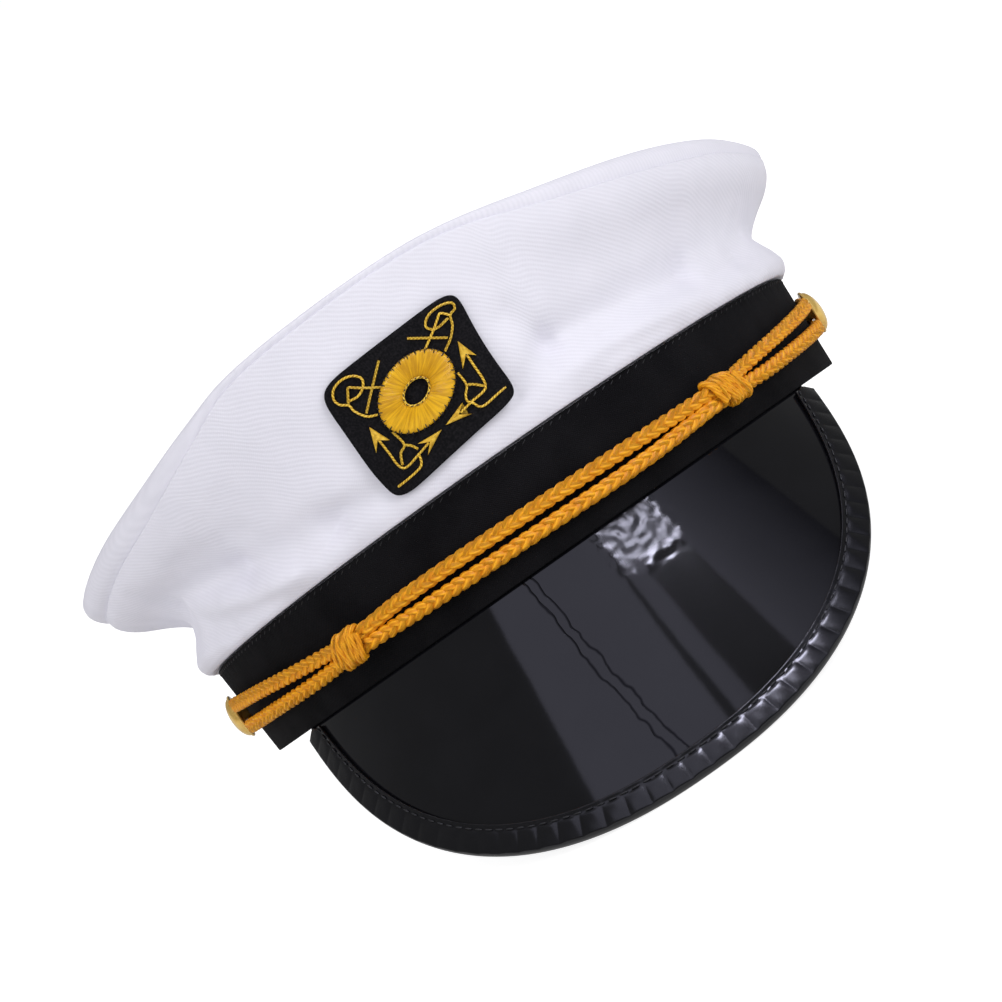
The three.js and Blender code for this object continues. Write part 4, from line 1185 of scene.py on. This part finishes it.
# Life ring: gold satin stitch laid from the hole to the rim over padding, tacked at both edges
# with dark stitches, and a gold thread round the hole.
RING_WIDTH = 21.2
RING_HEIGHT = 15.8
RING_HOLE_WIDTH = 7.2
RING_HOLE_HEIGHT = 5.2
RING_TILT = math.radians(21)
RING_UP = 1.1
RING_LIFT = THREAD_LIFT + 0.9 * MM
RING_THICK = 0.9 * MM
RING_SUNK = 0.7 * MM
RING_GROOVE = 0.05 * MM
RING_THREADS = 150
RING_COLUMNS = 900


def ring_line(inward, turned, grow=0.0):
    """Place on the tilted ring, from its rim, 0, to its hole, 1, in millimetres."""
    x = ((RING_WIDTH + (RING_HOLE_WIDTH - RING_WIDTH) * inward) / 2 + grow) * np.cos(turned)
    y = ((RING_HEIGHT + (RING_HOLE_HEIGHT - RING_HEIGHT) * inward) / 2 + grow) * np.sin(turned)
    across = x * math.cos(RING_TILT) - y * math.sin(RING_TILT)
    up = x * math.sin(RING_TILT) + y * math.cos(RING_TILT)
    return across, up + RING_UP


def ring_sections():
    turned = np.linspace(0, 2 * math.pi, RING_COLUMNS, endpoint=False)[:, None]
    inward = np.array([[0, 0.02, 0.08, 0.2, 0.4, 0.6, 0.8, 0.92, 0.98, 1.0, 0.95, 0.5, 0.05]])
    high = np.array([[0.1, 0.5, 0.85, 1.0, 1.05, 1.05, 1.0, 0.85, 0.5, 0.1, 0, 0, 0]])
    across, up = ring_line(inward, turned)
    groove = RING_GROOVE * np.cos(RING_THREADS * turned + 3 * np.sin(7 * turned)) * (high > 0.2)
    return on_crown(across * MM, up * MM, RING_LIFT - RING_SUNK + RING_THICK * high + groove)


def satin_thread():
    """Satin threads that lie from the rim to the hole, across the ring's flat pattern."""
    material, sockets, start = finish("satin_thread", 0.4, Specular_IOR_Level=0.4)
    along, inward = pattern(start)
    place = start.node("ShaderNodeCombineXYZ", {0: along * 1.6, 1: inward * 0.16})
    strand = start.node("ShaderNodeTexNoise", {"Vector": place, "Scale": 1.0, "Detail": 3.0})
    tint = (strand + grain(start, 7) * 0.5 - 0.25).clamped(0.25, 0.75)
    lead(tint.mixed((0.54, 0.265, 0.004), (0.84, 0.485, 0.01)), sockets["Base Color"])
    lead(strand.bump(0.25 * MM), sockets["Normal"])
    return material


def stitch_rule():
    """Short stitches at even steps along a path, lying along it or across it."""
    tree, given = rule("stitches", "Pitch Length Radius Turn")
    path = given["Geometry"]
    curve = path.node("GeometryNodeMeshToCurve", {"Mesh": path})
    inputs = {"Curve": curve, "Length": given["Pitch"]}
    spaced = path.node("GeometryNodeResampleCurve", inputs, mode="LENGTH")
    tangent, out = path.node("GeometryNodeInputTangent"), kept(path, "out", "FLOAT_VECTOR")
    turned = path.node("ShaderNodeVectorRotate", {"Vector": tangent, "Axis": out, "Angle": given["Turn"]})
    axes = {"primary_axis": "X", "secondary_axis": "Z"}
    lying = path.node("FunctionNodeAxesToRotation", {0: turned, 1: out}, **axes)
    ball = path.node("GeometryNodeMeshUVSphere", {"Segments": 8, "Rings": 6, "Radius": 0.5})
    thick = given["Radius"] * 2
    size = path.node("ShaderNodeCombineXYZ", {0: given["Length"], 1: thick, 2: thick})
    stitch = path.node("GeometryNodeTransform", {"Geometry": ball, "Scale": size})
    placed = {"Points": spaced, "Instance": stitch, "Rotation": lying}
    close_rule(tree, path.node("GeometryNodeInstanceOnPoints", placed), given["Finish"])
    return tree


def plain_thread(name, colour):
    material, sockets, start = finish(name, 0.6)
    lighter = [1.8 * part for part in colour]
    lead(grain(start, 0.6).mixed(colour, lighter), sockets["Base Color"])
    lead(grain(start, 0.25).bump(0.03 * MM), sockets["Normal"])
    return material


satin = lofted("ring_satin", ring_sections(), True)
satin.data.materials.append(satin_thread())
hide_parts("badge_ring")
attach(satin, "root")
stitches = stitch_rule()
dark_thread = plain_thread("dark_thread", (0.02, 0.014, 0.01))


# Rows of tacking stitches by name: where each runs on the ring, how far its line is widened and
# lifted, the size and the pitch of its stitches in millimetres, and how far they are turned.
RING_TICKS = {
    "ring_rim_ticks": (0, -0.5, 0.05, 1.4, 0.15, 2.3, 1.5),
    "ring_rim_small_ticks": (0, -0.1, -0.15, 0.9, 0.15, 1.45, 1.2),
    "ring_hole_ticks": (1, 0.05, 0.15, 0.7, 0.16, 1.3, 0.2),
}


def ring_edge(name, inward, grow, lift):
    """Closed path round the ring's rim or hole."""
    turned = np.linspace(0, 2 * math.pi, 240, endpoint=False)
    line = np.stack(ring_line(inward, turned, grow), -1)
    return path_mesh(name, [badge_line(line, RING_LIFT + lift * MM)], True)


for name, (inward, grow, lift, length, radius, pitch, turn) in RING_TICKS.items():
    row = grown(name, stitches, ring_edge(name, inward, grow, lift), Finish=dark_thread,
                Pitch=pitch * MM, Length=length * MM, Radius=radius * MM, Turn=turn)
    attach(row, "root")
hole_line = ring_edge("hole_line", 1, 0, -0.1)
hole_thread = grown("ring_hole_thread", thread_rule, hole_line, Radius=0.3 * MM, Finish=thread)
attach(hole_thread, "root")

# Stitches: black thread that shows as a row of dashes along the binding's inner edge, and, finer,
# along the band's upper edge, where it holds the crown.
STITCH_SUNK = 0.02 * MM
BAND_STITCH_DOWN = 0.9 * MM


def binding_line():
    angles, _ = even_rim(700)
    place, down = inset_place(angles, STITCH_INSET)
    high = PEAK_SHEET / 2 + CLEARANCE + BINDING_WALL - STITCH_SUNK
    return path_mesh("binding_line", [(peak_point(place, down, high), peak_face(place))], False)


def band_line():
    angles = full_turn(720)
    height = band_top(angles) - BAND_STITCH_DOWN
    places = around(angles, BAND_WALL + band_flare(angles, height) - STITCH_SUNK, height)
    return path_mesh("band_line", [(places, outwards(angles))], True)


black_thread = plain_thread("black_thread", (0.009, 0.009, 0.01))
edge_rows = [
    ("binding_stitches", binding_line(), "peak_vinyl", 3.1 * MM, 2.3 * MM, 0.22 * MM, 0.0),
    ("band_stitches", band_line(), "band_cloth", 2.7 * MM, 1.5 * MM, 0.13 * MM, 0.5),
]
for name, line, slot, pitch, length, radius, turn in edge_rows:
    row = grown(name, stitches, line, Finish=black_thread,
                Pitch=pitch, Length=length, Radius=radius, Turn=turn)
    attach(row, "root")

# Camera: nearly dead ahead of the hat and level with the band's lower edge, turned so that the
# hat hangs askew in the picture as it does in the photograph.
CAMERA_DISTANCE = 0.9
CAMERA_TARGET = (-3.5 * MM, 0, 21 * MM)
PICTURE_TURN = math.radians(35)
LENS = 119.8


def place_camera():
    spot = Vector((0, -CAMERA_DISTANCE, 0))
    ahead = (Vector(CAMERA_TARGET) - spot).normalized()
    right = ahead.cross(Vector((0, 0, 1))).normalized()
    up = right.cross(ahead)
    cos, sin = math.cos(PICTURE_TURN), math.sin(PICTURE_TURN)
    axes = [cos * right - sin * up, sin * right + cos * up, -ahead]
    camera = in_scene("camera", bpy.data.cameras.new("camera"))
    turned = turn_to_rest @ Matrix(axes).transposed()
    camera.matrix_world = Matrix.Translation(at_rest(spot)) @ turned.to_4x4()
    camera.data.lens = LENS
    camera.data.sensor_width = 36
    camera.data.clip_start, camera.data.clip_end = 0.05, 50
    bpy.context.scene.camera = camera


place_camera()

# Studio: a white floor and a white room that fill the shadows, soft boxes for the hat's form, and
# cards overhead that only gloss shows: the peak mirrors three as bands, its crumpled patch the last.
FLOOR_SIZE = 60
FLOOR_GLOW = 0.3
ROOM_LIGHT = 0.33
ROOM_IN_GLOSS = 0.16
CARD_DISTANCE = 1.5
CARD_TINT = (0.92, 0.92, 1.15)

# Soft boxes: where each stands from the hat, its two sides and its power. Gloss doesn't show them.
SOFT_BOXES = table(
    "x y z wide deep power",
    (-0.5, -1.1, 1.4, 0.7, 0.7, 5.5),
    (1.3, -1.1, 0.9, 1.0, 1.0, 19.5),
    (-1.5, -0.9, 0.9, 1.0, 1.0, 11.5),
    (0.4, 1.5, 1.3, 1.2, 1.2, 8),
)

# Cards: the peak's angles between which each is mirrored, how far its light is tipped forwards
# from there, its depth, and its brightness at the first and the second angle.
CARDS = table(
    "first last tip depth first_glow last_glow",
    (-15.4, 7.4, 0, 1.2, 0.9, 0.9),
    (7.9, 11.2, 0, 1.2, 0.9, 0.75),
    (19.2, 38.0, 0, 3.0, 0.72, 0.05),
    (8.0, 19.0, -7, 0.34, 28.0, 28.0),
)


def mirrored(angle, tip):
    """Direction in which the camera sees the room mirrored at an angle of the peak."""
    away = Vector((math.sin(angle), -math.cos(angle), 0))
    normal = away * math.sin(PEAK_SLOPE) + Vector((0, 0, math.cos(PEAK_SLOPE)))
    seen = Vector((0, 1, 0)).reflect(normal)
    return Matrix.Rotation(math.radians(tip), 3, "X") @ (turn_to_rest @ seen)


def seen_by(start, others, gloss):
    """Strength of a white surface: full for the camera, and less for other light and for gloss."""
    camera = start.node("ShaderNodeLightPath", output="Is Camera Ray")
    mirror = start.node("ShaderNodeLightPath", output="Is Glossy Ray")
    return camera * (1 - others) + mirror * (gloss - others) + others


def build_studio():
    floor_mesh = bpy.data.meshes.new("floor")
    half = FLOOR_SIZE / 2
    corners = [(-half, -half, 0), (half, -half, 0), (half, half, 0), (-half, half, 0)]
    floor_mesh.from_pydata(corners, [], [(0, 1, 2, 3)])
    floor = in_scene("floor", floor_mesh)
    material, sockets, start = finish("pale_floor", 0.9, Emission_Strength=0.85)
    sockets["Base Color"].default_value = (0.5, 0.5, 0.5, 1)
    glow = seen_by(start, FLOOR_GLOW, FLOOR_GLOW)
    lead(glow.mixed((0, 0, 0), (1, 1, 1)), sockets["Emission Color"])
    floor_mesh.materials.append(material)
    world = bpy.data.worlds.new("white_room")
    bpy.context.scene.world = world
    world.use_nodes = True
    background = world.node_tree.nodes["Background"].inputs
    background["Color"].default_value = (1, 1, 1, 1)
    lead(seen_by(Wire(world.node_tree), ROOM_LIGHT, ROOM_IN_GLOSS), background["Strength"])
    for x, y, z, wide, deep, power in zip(*SOFT_BOXES.values()):
        light = bpy.data.lights.new("soft_box", "AREA")
        light.shape, light.size, light.size_y, light.energy = "RECTANGLE", wide, deep, power
        lamp = in_scene("soft_box", light)
        lamp.location = (x, y, z)
        lamp.rotation_mode = "QUATERNION"
        lamp.rotation_quaternion = (Vector((0, 0, 0.05)) - lamp.location).to_track_quat("-Z", "Y")
        lamp.visible_glossy = False
    for n, (first, last, tip, depth, first_glow, last_glow) in enumerate(zip(*CARDS.values())):
        name = "card_%d" % (n + 1)
        edges = [CARD_DISTANCE * mirrored(math.radians(angle), tip) for angle in (first, last)]
        middle = (edges[0] + edges[1]) / 2
        up = middle.cross(edges[1] - edges[0]).normalized() * depth / 2
        spot = Vector(at_rest((0, -HEAD_LENGTH / 2, -20 * MM)))
        card_mesh = bpy.data.meshes.new(name)
        places = [edges[0] - up, edges[1] - up, edges[1] + up, edges[0] + up]
        card_mesh.from_pydata([spot + place for place in places], [], [(0, 1, 2, 3)])
        card_mesh.uv_layers.new(name="pattern").data.foreach_set("uv", [0, 0, 1, 0, 1, 1, 0, 1])
        card = in_scene(name, card_mesh)
        card.visible_shadow = False
        card.visible_diffuse = False
        brightest = float(max(first_glow, last_glow))
        material, sockets, start = finish(name, 1.0, Emission_Strength=brightest)
        sockets["Base Color"].default_value = (0, 0, 0, 1)
        share = pattern(start)[0] * MM
        shades = [[part * glow / brightest for part in CARD_TINT] for glow in (first_glow, last_glow)]
        lead(share.mixed(*shades), sockets["Emission Color"])
        card_mesh.materials.append(material)
    bpy.context.scene.view_settings.view_transform = "Standard"


build_studio()
